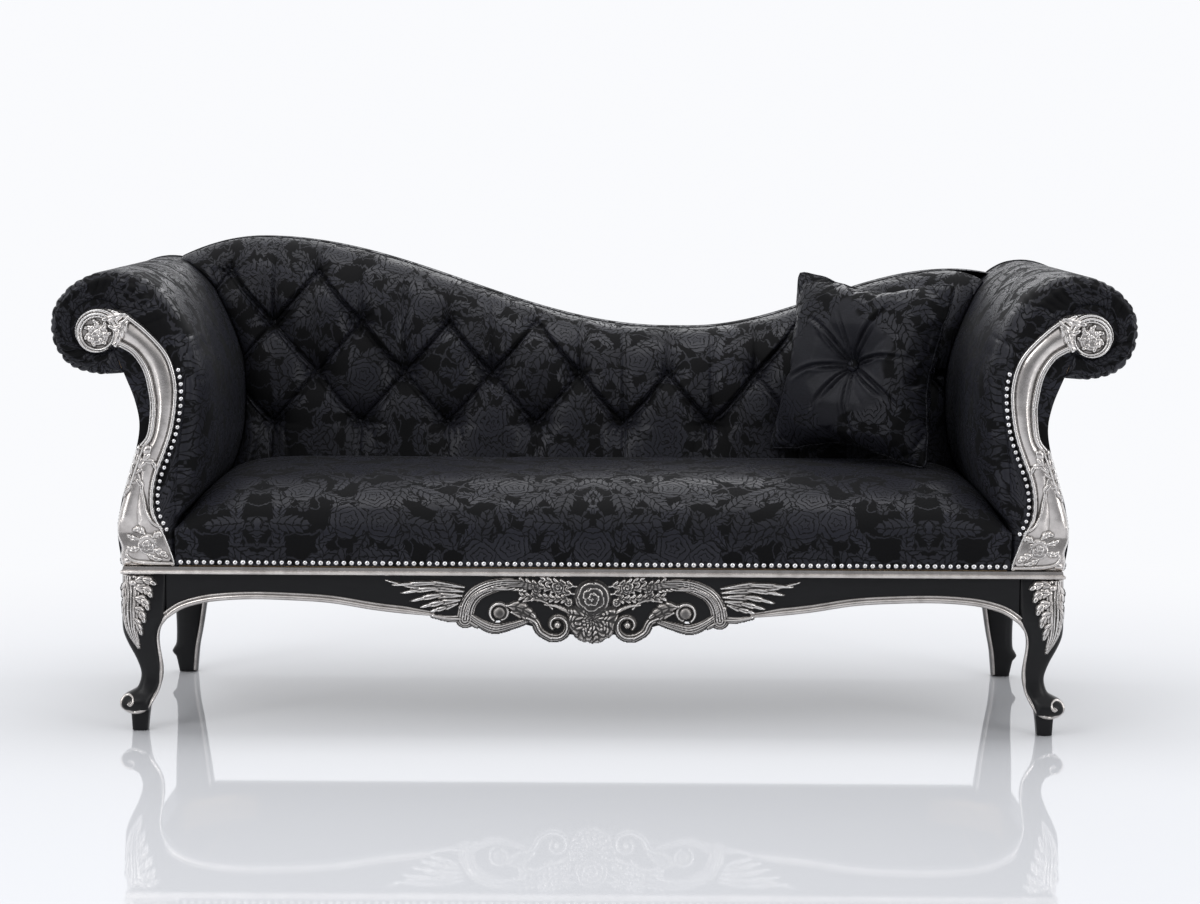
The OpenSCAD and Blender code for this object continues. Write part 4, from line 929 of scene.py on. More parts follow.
class Relief:
    """Heights in millimetres over a grid of x and z, where motifs are raised one by one."""

    def __init__(self, low, high, pitch, ground=-2.0):
        xs, zs = (np.arange(a, b + pitch, pitch) for a, b in zip(low, high))
        self.x, self.z = np.meshgrid(xs, zs, indexing="ij")
        self.pitch, self.ground = pitch, ground
        self.h = np.full(self.x.shape, float(ground))

    def raised(self, place, height):
        self.h[place] = np.maximum(self.h[place], height)

    def along(self, path, margin):
        """The part of the grid near a path, its share of the length and the distance to it."""
        path = np.asarray(path, float)
        low, high = path.min(0) - margin, path.max(0) + margin
        place = (slice(*np.searchsorted(self.x[:, 0], [low[0], high[0]])),
                 slice(*np.searchsorted(self.z[0], [low[1], high[1]])))
        x, z = self.x[place], self.z[place]
        best, share, side = np.full(x.shape, 1e9), np.zeros(x.shape), np.ones(x.shape)
        run = length_along(path)
        run = run / run[-1]
        for a, b, s0, s1 in zip(path[:-1], path[1:], run[:-1], run[1:]):
            d = b - a
            t = unit(((x - a[0]) * d[0] + (z - a[1]) * d[1]) / (d @ d + 1e-9))
            ox, oz = x - a[0] - t * d[0], z - a[1] - t * d[1]
            away = ox * ox + oz * oz
            near = away < best
            best = np.where(near, away, best)
            share = np.where(near, s0 + (s1 - s0) * t, share)
            side = np.where(near, np.where(oz * d[0] - ox * d[1] >= 0, 1.0, -1.0), side)
        return place, share, np.sqrt(best), side

    def strand(self, points, width, height, ribs=0, rib_depth=0.35, base=0.0, steps=8):
        """A band along a curve. width and height are (start, middle, end)."""
        place, s, away, side = self.along(smooth(points, steps), max(width) + 3)
        w = np.interp(s, [0, 0.5, 1], width)
        tall = np.interp(s, [0, 0.5, 1], height)
        q = away / w
        body = tall * unit(1 - q * q) ** 0.55
        if ribs:
            body = body * (1 - rib_depth * (0.5 - 0.5 * np.cos(2 * np.pi * ribs * q * side)))
        self.raised(place, np.where(q < 1, base + body, base - (q - 1) * w * 1.6))

    def leaf(self, points, width, height, lobes, base):
        """A carved leaf with a midrib, lobes that lean to its tip, and hollows between."""
        place, s, away, _ = self.along(smooth(points, 8), width + 3)
        outline = width * np.sin(np.pi * np.clip(s, 0.02, 1) ** 0.75) ** 0.6
        phase = lobes * s - 0.6 * away / width
        outline = outline * (0.70 + 0.30 * np.abs(np.sin(np.pi * phase)) ** 0.7) + 0.3
        q = away / outline
        body = height * unit(1 - q * q) ** 0.5 \
            * (0.70 + 0.30 * np.abs(np.sin(np.pi * phase)) ** 0.6)
        body = body - 1.4 * bell(away, 0.9) * (s > 0.05)
        self.raised(place, np.where(q < 1, base + body, base - (q - 1) * outline * 1.6))

    def boss(self, centre, radii, height, turn=0.0, base=0.0):
        c, s = math.cos(math.radians(turn)), math.sin(math.radians(turn))
        x, z = self.x - centre[0], self.z - centre[1]
        q = np.hypot((x * c + z * s) / radii[0], (z * c - x * s) / radii[1])
        body = height * unit(1 - q * q) ** 0.5
        self.raised(whole, np.where(q < 1, base + body, base - (q - 1) * min(radii) * 1.6))

    def rose(self, centre, radius, height, turns, petals, base):
        """An open rose: rings of petals whose rims stand up, closing to a bud."""
        x, z = self.x - centre[0], self.z - centre[1]
        out, angle = np.hypot(x, z) / radius, np.arctan2(z, x)
        scallop = 0.30 * np.abs(np.sin(petals * angle / 2 + np.floor(out * turns) * 1.3))
        step = out * turns - scallop + angle / (2 * np.pi) * 0.8
        saw = step - np.floor(step)
        dome = height * (0.55 + 0.45 * (1 - unit(out)))
        body = dome * (0.62 + 0.38 * saw ** 1.6) * unit((1 - out) * 9) ** 0.5
        self.raised(whole, np.where(out < 1, base + body, base - (out - 1) * radius * 1.6))

    def like(self, x, z, h):
        """A relief of the same pitch and ground, with other places and heights."""
        other = Relief.__new__(Relief)
        other.pitch, other.ground = self.pitch, self.ground
        other.x, other.z, other.h = x, z, h
        return other

    def mirrored(self):
        """The same relief with its mirror image beside it, about x = 0."""
        return self.like(*(np.vstack([part, sign * part[::-1][1:]])
                           for part, sign in ((self.x, -1), (self.z, 1), (self.h, 1))))

    def soft(self, reach):
        """The heights averaged over a square, by running sums."""
        size = max(1, int(round(reach / self.pitch)))
        total = self.h
        for axis in (0, 1):
            padded = np.concatenate([np.repeat(total.take([0], axis), size, axis), total,
                                     np.repeat(total.take([-1], axis), size, axis)], axis)
            summed = np.cumsum(padded, axis)
            count = total.shape[axis]
            first = summed.take(np.arange(count), axis)
            total = (summed.take(np.arange(count) + 2 * size - 1, axis) - first) / (
                2 * size - 1)
        return total

    def carve(self, name, surface, glaze_shade_strength, mirror=1, finish=SILVER, shade=0.0):
        """Make the piece. surface gives y of the ground at x and z. The third argument scales the
        glaze and painted shade in the hollows and the painted highlight on the ridges, and shade
        adds painted shade all over.
        """
        h = np.maximum(self.h, self.ground)
        solid = h > self.ground + 0.02
        cell = solid[:-1, :-1] | solid[1:, :-1] | solid[:-1, 1:] | solid[1:, 1:]
        a, b, c, e = cell[:-1, :-1], cell[1:, :-1], cell[:-1, 1:], cell[1:, 1:]
        pinched = (a & e & ~b & ~c) | (b & c & ~a & ~e)
        for corner in (a, b, c, e):
            corner |= pinched
        rows, cols = h.shape
        index = np.arange(rows * cols).reshape(rows, cols)
        quads = np.stack([index[:-1, :-1], index[1:, :-1], index[1:, 1:],
                          index[:-1, 1:]], -1)[cell]
        edges = np.concatenate([quads[:, [k, (k + 1) % 4]] for k in range(4)])
        lows, highs = edges.min(1), edges.max(1)
        key = lows.astype(np.int64) * (rows * cols) + highs
        _, position, count = np.unique(key, return_index=True, return_counts=True)
        border = edges[position[count == 1]]
        used = np.unique(quads)
        new = np.full(rows * cols, -1)
        new[used] = np.arange(len(used))
        x, z = self.x.ravel()[used], self.z.ravel()[used]
        tall = h.ravel()[used]
        ground = surface(x, z)
        top = np.stack([x * mirror, ground - tall, z], 1)
        under = np.stack([x * mirror, ground - self.ground + 0.6, z], 1)
        n = len(used)
        faces = new[quads].tolist() + (new[quads][:, ::-1] + n).tolist()
        faces += [[int(new[b]), int(new[a]), int(new[a]) + n, int(new[b]) + n]
                  for a, b in border]
        # Painted shade and highlight: places below their surroundings get glaze and painted
        # shade, places above them a painted highlight, and the parts close to the ground more
        # painted shade.
        depth = (self.soft(4.0) - self.h).ravel()[used] * 0.42
        fine = (self.soft(1.8) - self.h).ravel()[used] * 0.9
        sunk = np.where(np.abs(depth) > np.abs(fine), depth, fine)
        shade = shade(x) if callable(shade) else shade
        hollow = np.clip(sunk * glaze_shade_strength + shade + 0.25 * (tall < 0.8), -1, 1)
        return make(name, np.vstack([top, under]), faces, finish,
                    hollow=np.concatenate([hollow, hollow]))


def inside(x, z, outline):
    """True where a place lies inside a closed outline."""
    within = np.zeros(x.shape, bool)
    for a, b in zip(outline, np.roll(outline, -1, axis=0)):
        if a[1] == b[1]:
            continue
        crossing = ((a[1] > z) != (b[1] > z)) & (
            x < (b[0] - a[0]) * (z - a[1]) / (b[1] - a[1]) + a[0])
        within ^= crossing
    return within


print("relief tools ready")

# %% [markdown]
# ## The carved facings
# Each arm ends in a facing: a smooth moulded stem between two beads that winds up into a
# volute with a rosette, and swells at its foot into acanthus, a hollow panel and a rose.
# The stem's section is a rule on the distance to its two edges, and the rest is raised on
# it with the carving tools. One relief serves both arms, mirrored.

# %% Facings
facing_inner = smooth([[-101, 0], [-99, 15], [-84, 56], [-66, 92], [-62, 125],
    [-68, 165], [-84, 207], [-100, 255], [-108, 310], [-106, 352], [-92, 394],
    [-62, 430], [-25, 461], [4, 474]], 4)
EYE = EYE_X, EYE_Z = 38, 431
facing_volute = spiral(EYE, 46, 34, 100, -140, 28)
facing_outer = smooth([[-4, 404], [-26, 390], [-45, 360], [-54, 320], [-56, 290],
    [-50, 245], [-34, 221], [-22, 185], [-8, 135], [3, 96], [7, 60], [0, 34],
    [2, 14], [-1, 0]], 4)
facing_edge = np.vstack([facing_inner, facing_volute, facing_outer])
facing = Relief((-116, -3), (92, 484), 1.15, ground=-0.5)
within = inside(facing.x, facing.z, facing_edge)


def distance(path):
    """Distance from every place of the facing to a path."""
    away = np.full(facing.x.shape, 300.0)
    place, _, near, _ = facing.along(path, 130)
    away[place] = near
    return away


from_inner, from_outer = distance(facing_inner), distance(facing_outer)
rim_away = distance(np.vstack([facing_edge, facing_edge[:1]]))
out_eye = np.hypot(facing.x - EYE_X, facing.z - EYE_Z)
share = from_inner / (from_inner + from_outer + 1e-6)
stem = 5.2 + 6.4 * np.sin(np.pi * unit((share - 0.16) / 0.62)) ** 0.9
stem = np.where((from_inner < 9.6) | (from_outer < 12.4), 4.6, stem)


def bead_on(heights, away, middle, half, tall):
    """Raise a round bead where a distance is near its middle."""
    across = unit(1 - ((away - middle) / half) ** 2) ** 0.5
    return np.maximum(heights, (tall - half + half * across) * (across > 0))


stem = bead_on(stem, from_inner, 4.4, 4.0, 12.6)
stem = bead_on(stem, from_outer, 2.2, 2.2, 9.8)
stem = bead_on(stem, from_outer, 8.2, 3.4, 12.4)
panel_rim = smooth([[-30, 188], [-37, 160], [-43, 128], [-47, 102], [-58, 82], [-72, 73],
                    [-86, 67]], 6)
panel = inside(facing.x, facing.z, np.vstack([panel_rim, [[-118, 60], [-118, 200],
                                                          [-70, 230], [-30, 200]]]))
plain = 6.2 + 6.0 * np.sin(np.pi * unit(rim_away / 36)) ** 0.8
low_part = (facing.z < 188) & ~panel
stem = np.where(low_part, np.where(from_inner < 8, np.maximum(4.6, stem), plain), stem)
cove = unit(1 - distance(panel_rim) / 16)
stem = np.where(panel & (facing.z < 176), stem - 3.0 * cove ** 2, stem)
foot_top = 84 + 12 * np.cos((facing.x + 50) / 60)
foot = ease((foot_top - facing.z) / 36) * unit((rim_away - 3) / 3)
stem = stem * (1 - foot) + foot * (6.8 + 2.6 * np.sin(np.pi * unit(facing.z / 62)))
volute = 5.0 + 0 * stem
for ring_r, half, tall in ((42.5, 3.2, 12.6), (35.6, 2.4, 13.6), (30.6, 1.8, 11.0)):
    volute = bead_on(volute, out_eye, ring_r, half, tall)
on_volute = (out_eye < 47) & ((facing.x > 0) | (out_eye < 40))
profile = np.where(on_volute, volute, stem)
edge_round = unit(rim_away / 2.4)
profile = profile * np.sqrt(unit(1 - (1 - edge_round) ** 2)) ** 0.6
facing.h = np.where(within, profile, -0.5 - rim_away)
facing.strand(panel_rim[::3], (2.2, 3.2, 2.6), (4, 5, 4), base=8.0)
facing.rose((36, 428), 20, 7.5, 2.2, 5, base=5.6)
facing.boss((51, 420), (6.5, 6.5), 6.0, base=7.0)
facing.boss((47, 441), (5.0, 5.0), 5.0, base=7.0)
for angle in range(20, 380, 52):
    c, s = math.cos(math.radians(angle)), math.sin(math.radians(angle))
    facing.leaf([[EYE_X + 9 * c, EYE_Z + 9 * s],
                 [EYE_X + 17 * c - 4 * s, EYE_Z + 17 * s + 4 * c],
                 [EYE_X + 26 * c, EYE_Z + 26 * s]], 5.5, 5.4, 2, base=6.4)
for points, width, tall, lobes in (
        ([[-14, 466], [0, 462], [16, 458], [30, 456]], 8.0, 6.0, 3),
        ([[-16, 458], [-6, 446], [4, 440], [18, 446]], 7.0, 6.5, 3),
        ([[-18, 452], [-8, 436], [0, 420], [6, 404]], 8.5, 7.0, 4)):
    facing.leaf(points, width, tall, lobes, base=9.4)
facing.strand([[-20, 462], [-10, 450], [-4, 436], [1, 416], [6, 398]], (3.0, 4.2, 2.5),
              (4, 6.0, 4), base=10.2)
for points, width, tall, lobes in (
        ([[-8, 132], [-22, 168], [-30, 196], [-36, 226]], 10.5, 8.0, 5),
        ([[-24, 168], [-40, 190], [-52, 208], [-58, 224]], 9.0, 8.0, 4),
        ([[-24, 186], [-46, 196], [-62, 192], [-66, 180]], 7.5, 7.0, 3),
        ([[-14, 150], [-30, 160], [-40, 150], [-38, 136]], 6.5, 6.5, 3)):
    facing.leaf(points, width, tall, lobes, base=7.6)
facing.strand([[-16, 140], [-27, 172], [-38, 204], [-46, 226]], (2, 2.6, 1.6), (6, 9, 6),
              base=9.0)
facing.boss((-50, 216), (7, 9), 5.5, turn=30, base=10)
facing.rose((-50, 40), 19.0, 7.5, 2.4, 5, base=6.4)
for points, width, lobes in (
        ([[-62, 30], [-76, 24], [-88, 16]], 8.0, 3), ([[-60, 54], [-70, 60], [-78, 56]], 6.5, 3),
        ([[-44, 60], [-34, 68], [-22, 66]], 7.0, 3), ([[-34, 34], [-22, 30], [-12, 36]], 6.5, 3),
        ([[-50, 22], [-62, 14], [-76, 12]], 5.5, 3), ([[-34, 50], [-22, 52], [-12, 58]], 6.0, 2)):
    facing.leaf(points, width, 6.2, lobes, base=6.6)
facing.strand([[-97, 4.5], [-60, 5], [-34, 7], [-18, 12], [-10, 22], [-14, 32]],
              (3.2, 4.4, 2.6), (5, 6.5, 4), base=6.8)
facing.boss((-12, 9), (9, 6.5), 5.0, base=6.6)
facing.h = np.where(within | (rim_away < 1.2), facing.h, -0.5)
for side, name in SIDES:
    one = facing.like(facing.x + RAIL_HALF, facing.z + DECK, facing.h)
    piece = one.carve(name + "_facing_carved", lambda x, z: ARM_Y - GLUE + 0 * x,
                      mirror=side, glaze_shade_strength=1.6)
    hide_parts(name + "_arm_facing")
    told(piece)

# %% [markdown]
# ## The crest of the apron
# In the middle of the front hangs the richest carving: an open rose, sprays and small
# flowers beside it, two scrolls, a pierced shell below, and a ribbed horn with a feathered
# leaf on each side. One half is carved on the grid and mirrored, and the rose comes last.

# %% Crest
half = Relief((-388, 160), (0, 300), 1.35, ground=-2.0)
half.strand([[-236, 218], [-230, 246], [-212, 268], [-178, 282], [-140, 285], [-104, 279]],
            (15, 13, 7), (7, 10, 6), ribs=3, rib_depth=0.5, base=1.5)
half.strand([[-233, 230], [-222, 258], [-196, 274], [-160, 277], [-124, 272]],
            (6, 5, 3), (8, 10, 6), ribs=2, rib_depth=0.4, base=3)
half.strand([[-244, 240], [-216, 216], [-183, 201], [-150, 207], [-122, 216]],
            (5, 9, 5), (6, 9, 6), ribs=2, rib_depth=0.45, base=1)
half.strand([[-296, 224], [-268, 219], [-240, 218], [-214, 206]], (3, 6, 4), (4, 7, 6),
            ribs=1, base=0.5)
for root, bend, tip, wide, tall in (
        ((-238, 278), (-300, 285), (-372, 281), 5.5, 7.5),
        ((-240, 270), (-296, 275), (-356, 266), 6.0, 8.5),
        ((-242, 262), (-290, 262), (-338, 251), 6.5, 9.0),
        ((-246, 254), (-282, 249), (-320, 240), 6.5, 9.0),
        ((-250, 247), (-276, 239), (-302, 232), 6.0, 8.0),
        ((-258, 280), (-318, 276), (-384, 290), 3.5, 6.0)):
    half.leaf([root, bend, tip], wide, tall, 3, base=1.0)
half.boss((-172, 231), (12, 12), 9.5, base=1.5)
half.strand(spiral((-172, 231), 19, 14, 235, -70, 20), (2, 4, 3), (3, 7, 5), base=1.0,
            steps=1)
half.leaf([[-158, 244], [-132, 240], [-104, 222]], 11.0, 8.5, 4, base=2)
half.leaf([[-150, 232], [-128, 226], [-108, 212]], 7.5, 7.5, 3, base=2)
scroll = np.vstack([smooth([[-122, 222], [-106, 214], [-96, 196], [-76, 184]], 6),
                    spiral((-66, 208), 24, 10, -112, 215, 30)])
half.strand(scroll, (7, 6.5, 4), (7, 11, 8), ribs=1, rib_depth=0.3, base=2, steps=1)
half.strand(scroll, (2.2, 2.6, 1.6), (9, 13, 9), base=2, steps=1)
half.boss((-65, 209), (7.5, 7.5), 12, base=1.5)
half.strand([[-88, 246], [-66, 243], [-44, 232], [-28, 212]], (2, 4.5, 2), (4, 8, 5), base=1)
half.strand([[-128, 252], [-104, 256], [-86, 250], [-74, 238]], (2, 3.5, 2), (4, 6, 4),
            base=1)
for stem_root, stem_tip, leaflets in (((-34, 266), (-134, 290), 8), ((-40, 256), (-132, 262), 8),
                                      ((-30, 280), (-96, 294), 5)):
    a, b = np.array(stem_root, float), np.array(stem_tip, float)
    way = (b - a) / np.linalg.norm(b - a)
    across = np.array([-way[1], way[0]])
    half.strand([a, (a + b) / 2 + across * 2, b], (1.6, 1.8, 1.2), (4, 5, 3), base=1)
    for k in range(leaflets):
        root = a + (b - a) * (k + 0.6) / (leaflets + 0.2)
        for side in (-1, 1):
            tip = root + way * 11 + across * side * 8.5
            half.leaf([root, (root + tip) / 2 + way * 2, tip], 3.9, 5.8 + rng.uniform(-1, 1),
                      1, base=1.4)
half.rose((-64, 278), 12.5, 8.5, 2.2, 5, base=1.5)
half.rose((-104, 273), 8.5, 7.5, 1.8, 4, base=1.5)
half.rose((-44, 250), 8.0, 7.5, 1.8, 4, base=1.5)
crest_work = half.mirrored()
shell_x, shell_z = crest_work.x, crest_work.z - 222
from_top = np.hypot(shell_x / 46, np.minimum(shell_z, 0) / 46)
fan = np.arctan2(-shell_z, shell_x)
lace = 4.2 + 3.6 * np.abs(np.cos(fan * 9.0)) ** 0.7 * unit(from_top * 2) \
    + 2.6 * np.abs(np.sin(from_top * 15 + 1.6 * np.sin(fan * 6) + 0.8 * np.sin(shell_x / 4)))
scallops = 1.0 + 0.06 * np.abs(np.cos(fan * 4.5))
crest_work.raised(whole, np.where((from_top < scallops) & (shell_z < 22),
                                  lace * unit((scallops - from_top) * 8) ** 0.5
                                  * unit((22 - shell_z) / 8), -2))
for count, start, step, reach, up, size, tall, base in (
        (9, -172, 20.5, 41, 222, 5.2, 6.5, 2.0), (6, -160, 28, 25, 220, 4.2, 7.5, 3.5)):
    for k in range(count):
        angle = math.radians(start + k * step)
        place = reach * math.cos(angle), up + reach * math.sin(angle)
        crest_work.boss(place, (size, size), tall, base=base)
crest_work.boss((0, 259), (34.5, 34.5), 4.0, base=1.5)
crest_work.rose((0, 259), 32.5, 11.5, 3.3, 5, base=2.5)
crest_work.h = np.where(crest_work.z > 298, -2.0, crest_work.h)
crest_carved = crest_work.carve("crest_carved", lambda x, z: RAIL_Y - GLUE + 0 * x, glaze_shade_strength=2.3,
                                shade=lambda x: np.interp(np.abs(x), [120, 230, 300],
                                                          [1.0, 0.75, 0.45]),
                                finish=SILVER_DARK)
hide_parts("apron_crest")
told(crest_carved)

# %% [markdown]
# ## The legs
# The front legs are cabriole legs: a full knee, a thin ankle and a scrolled toe over a
# small peg. A leg like this is a stack of rounded sections whose edges follow four curves,
# the two sides, the front and the back. Squarish sections at the top turn rounder below.

# %% Legs
RINGS_Z = np.concatenate([np.arange(1.5, 60, 1.6), np.arange(60, 300, 2.6), [299.5]])


def edges_at(z, left, right, front, back):
    """Centre and half sizes of a leg's section at each height, from its four outlines."""
    a, b, c, d = (np.interp(z, curve[:, 1], curve[:, 0]) for curve in (left, right, front, back))
    return (a + b) / 2, np.abs(b - a) / 2, (c + d) / 2, np.abs(d - c) / 2


def upward(points):
    path = smooth(points, 6)
    return path[np.argsort(path[:, 1])]


FRONT_LEG = dict(
    left=upward([[-13, 3], [-12, 20], [-10, 37], [-2, 40], [5, 47], [7, 57], [1, 68], [-12, 75],
                 [-24, 84], [-30, 108], [-22, 136], [-8, 166], [0, 188], [2, 210], [1, 232],
                 [-5, 252], [-8, 276], [-8, 300]]),
    right=upward([[-83, 300], [-83, 232], [-83, 216], [-70, 199], [-65, 180], [-66, 155],
                  [-71, 120], [-69, 95], [-62, 76], [-53, 60], [-46, 37], [-42, 3]]),
    front=upward([[0, 300], [-5, 272], [-8, 235], [-6, 202], [1, 167], [11, 132], [14, 102],
                  [8, 76], [-3, 62], [-5, 51], [2, 41], [12, 36], [14, 3]]),
    back=upward([[44, 3], [46, 37], [49, 62], [47, 90], [45, 120], [46, 160], [52, 200],
                 [60, 232], [60, 300]]))
REAR_LEG = dict(
    left=upward([[-8, 300], [-6, 240], [-5, 180], [-7, 110], [-5, 66], [1, 52], [4, 45],
                 [0, 38], [-4, 32], [-9, 3]]),
    right=upward([[-46, 3], [-53, 54], [-62, 96], [-70, 142], [-83, 232], [-83, 300]]),
    front=upward([[-10, 3], [-24, 50], [-36, 100], [-48, 170], [-60, 232], [-60, 300]]),
    back=upward([[0, 300], [2, 230], [4, 170], [9, 100], [18, 50], [26, 3]]))
REAR_Y = BACK_Y - 7


def squareness(z):
    return np.interp(z, [0, 36, 60, 130, 215, 300], [5.0, 4.2, 2.7, 2.7, 3.4, 9.0])


def leg_front_y(out, z):
    """Y of a front leg's face at a distance out from the rail's end and a height."""
    middle, half_x, deep, half_y = edges_at(z, **FRONT_LEG)
    n = squareness(z)
    u = np.clip(np.abs(out - middle) / half_x, 0, 0.985)
    return RAIL_Y + deep - half_y * (1 - u ** n) ** (1 / n)


def turned_leg(name, outlines, y0, side, node):
    middle, half_x, deep, half_y = edges_at(RINGS_Z, **outlines)
    angle = np.linspace(0, 2 * np.pi, 64, endpoint=False)
    c, s = np.cos(angle), np.sin(angle)
    n = 2 / squareness(RINGS_Z)[:, None]
    x = middle[:, None] + half_x[:, None] * np.sign(c) * np.abs(c) ** n
    y = y0 + deep[:, None] + half_y[:, None] * np.sign(s) * np.abs(s) ** n
    z = RINGS_Z[:, None] + 0 * x
    points = np.stack([side * (RAIL_HALF + x), y, z], -1).reshape(-1, 3)
    faces = grid_faces(len(RINGS_Z), 64, wrap=True)
    faces.append(list(range(64))[::-1])
    faces.append([(len(RINGS_Z) - 1) * 64 + k for k in range(64)])
    leg = make(name, points, faces, LACQUER)
    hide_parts(node)
    return leg


for side, name in SIDES:
    told(turned_leg("front_" + name + "_leg_turned", FRONT_LEG, RAIL_Y, side,
                    "front_" + name + "_leg"),
         turned_leg("rear_" + name + "_leg_turned", REAR_LEG, REAR_Y, side,
                    "rear_" + name + "_leg"))

# %% Knee leaves
knee = Relief((-84, 150), (6, 299), 1.15, ground=-1.5)
knee.strand([[-12, 294], [-14, 262], [-13, 228], [-17, 192], [-30, 160]], (9, 13, 3),
            (6, 9, 5), ribs=2, rib_depth=0.45, base=1.2)
knee.strand([[-28, 294], [-26, 262], [-24, 228], [-24, 196], [-30, 166]], (7, 9, 2.5),
            (5, 8, 4), ribs=1, base=1.2)
for points, width, lobes in (
        ([[-24, 286], [-44, 290], [-66, 280]], 10.0, 3),
        ([[-26, 274], [-46, 272], [-58, 256]], 10.0, 3),
        ([[-24, 256], [-42, 250], [-52, 232]], 9.0, 3),
        ([[-22, 238], [-36, 230], [-44, 208]], 8.5, 3),
        ([[-20, 220], [-30, 208], [-38, 184]], 7.5, 3),
        ([[-12, 290], [-6, 268], [-6, 244]], 7.0, 3),
        ([[-14, 262], [-6, 240], [-5, 214]], 6.5, 3),
        ([[-16, 232], [-10, 212], [-12, 190]], 6.0, 2)):
    knee.leaf(points, width, 7.5, lobes, base=1.4)
knee.boss((-22, 284), (9, 7), 8.5, base=2.0)
knee.boss((-34, 278), (6, 6), 7.5, base=2.0)
knee.h = np.where(knee.z > 297, -1.5, knee.h)
for side, name in SIDES:
    one = knee.like(knee.x + RAIL_HALF, knee.z, knee.h)
    piece = one.carve(name + "_knee_leaf",
                      lambda x, z: leg_front_y(x - RAIL_HALF, z) + 0.3, mirror=side, glaze_shade_strength=1.9,
                      shade=0.30)
    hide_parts(name + "_knee_carving")
    told(piece)

# %% [markdown]
# ## Silver beads
# A double bead runs from the scroll of each toe up the inner edge of the leg and on along
# the lower edge of the apron to the crest. It is one section swept along a curve, and the
# section turns with the curve, so its inner line always stays inside.

# %% Beads
apron_edge = smooth([[0, -112], [-60, -108], [-120, -93], [-160, -84], [-205, -87],
    [-260, -79], [-330, -73], [-403, -65], [-486, -52], [-569, -47], [-640, -46],
    [-700, -50], [-737, -57], [-765, -67], [-790, -84]], 8)
DOUBLE_BEAD = np.array([[-1.2, -3.0], [-1.4, 1.0], [-0.6, 3.0], [1.2, 4.5], [3.6, 5.0],
                        [6.0, 4.4], [7.4, 2.8], [8.0, 1.2], [8.8, 1.2], [9.4, 2.6],
                        [10.8, 3.4], [12.2, 2.6], [12.9, 0.8], [13.0, -3.0]])


def sweep(name, path, section, y_of, side, taper=None):
    """A silver section swept along a path in the front plane; path points are (x, z)."""
    way = np.gradient(path, axis=0)
    way /= np.linalg.norm(way, axis=1)[:, None] + 1e-9
    across = np.stack([-way[:, 1], way[:, 0]], 1)
    size = np.ones(len(path)) if taper is None else taper
    base = path[:, None] + across[:, None] * (section[None, :, 0:1] * size[:, None, None])
    y = y_of(path)[:, None] - section[None, :, 1] * size[:, None]
    points = np.stack([side * base[..., 0], y, base[..., 1]], -1)
    rows, columns = points.shape[:2]
    faces = grid_faces(rows, columns, wrap=True)
    faces += [list(range(columns))[::-1], [(rows - 1) * columns + k for k in range(columns)]]
    # Glaze and painted shade in the low parts of the section, between and beside the beads.
    low = unit(1 - section[:, 1] / 3.0) * 0.9
    return make(name, points.reshape(-1, 3), faces, SILVER,
                hollow=np.tile(low, rows))


foot_line = smooth([[-8, 54], [-14, 50], [-20, 56], [-19, 66], [-10, 72], [0, 68], [6, 58],
    [4, 47], [-5, 38], [-18, 33], [-33, 36], [-46, 46], [-56, 62], [-65, 82], [-70, 108],
    [-69, 136], [-66, 160], [-65, 180], [-70, 199], [-83, 216]], 7)
edge_line = np.stack([apron_edge[:, 0], LEG_H + apron_edge[:, 1]], 1)[::-1]
edge_line = edge_line[edge_line[:, 0] < -286]
bead_line = np.vstack([np.stack([-RAIL_HALF - foot_line[:, 0], foot_line[:, 1]], 1)[:-1],
                       edge_line])
bead_line = even(bead_line, 420)
spread = np.concatenate([np.linspace(0.45, 1.0, 60), np.ones(360)])
spread[-30:] = np.linspace(1, 0.6, 30)


def bead_y(path):
    out = -path[:, 0] - RAIL_HALF
    on_leg = ease((-path[:, 0] - 770) / 24)
    leg = leg_front_y(np.clip(out, -76, 2), np.clip(path[:, 1], 3, 299))
    y = leg * on_leg + RAIL_Y * (1 - on_leg)
    smooth_y = np.convolve(np.pad(y, 8, mode="edge"), np.ones(17) / 17, mode="valid")
    return smooth_y - 0.5


for side, name in SIDES:
    bead = sweep(name + "_double_bead", bead_line, DOUBLE_BEAD, bead_y, side, spread)
    told(bead)
    if side == 1:
        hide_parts("apron_bead")
REAR_BEAD = np.array([[-0.8, -3], [-1, 0.6], [0.4, 2.2], [2.6, 3.0], [4.8, 2.2], [6, 0.6],
                      [6, -3]])
rear_line = even(REAR_LEG["right"][REAR_LEG["right"][:, 1] < 236], 90)
path = np.stack([-RAIL_HALF - rear_line[:, 0] - 1.5, rear_line[:, 1]], 1)


def rear_y(line):
    deep = np.interp(line[:, 1], REAR_LEG["front"][:, 1], REAR_LEG["front"][:, 0])
    return REAR_Y + deep + 2.5


for side, name in SIDES:
    told(sweep("rear_" + name + "_bead", path, REAR_BEAD, rear_y, side))

# %% [markdown]
# ## Cloth on the outer sides
# The outer side of each arm is covered by a flat-lined panel that follows the S of the
# timbers, with a little crown where the lining lifts it. In front, a strip of the same
# cloth covers the boards behind the facing, so no wood shows beside the carved stem.

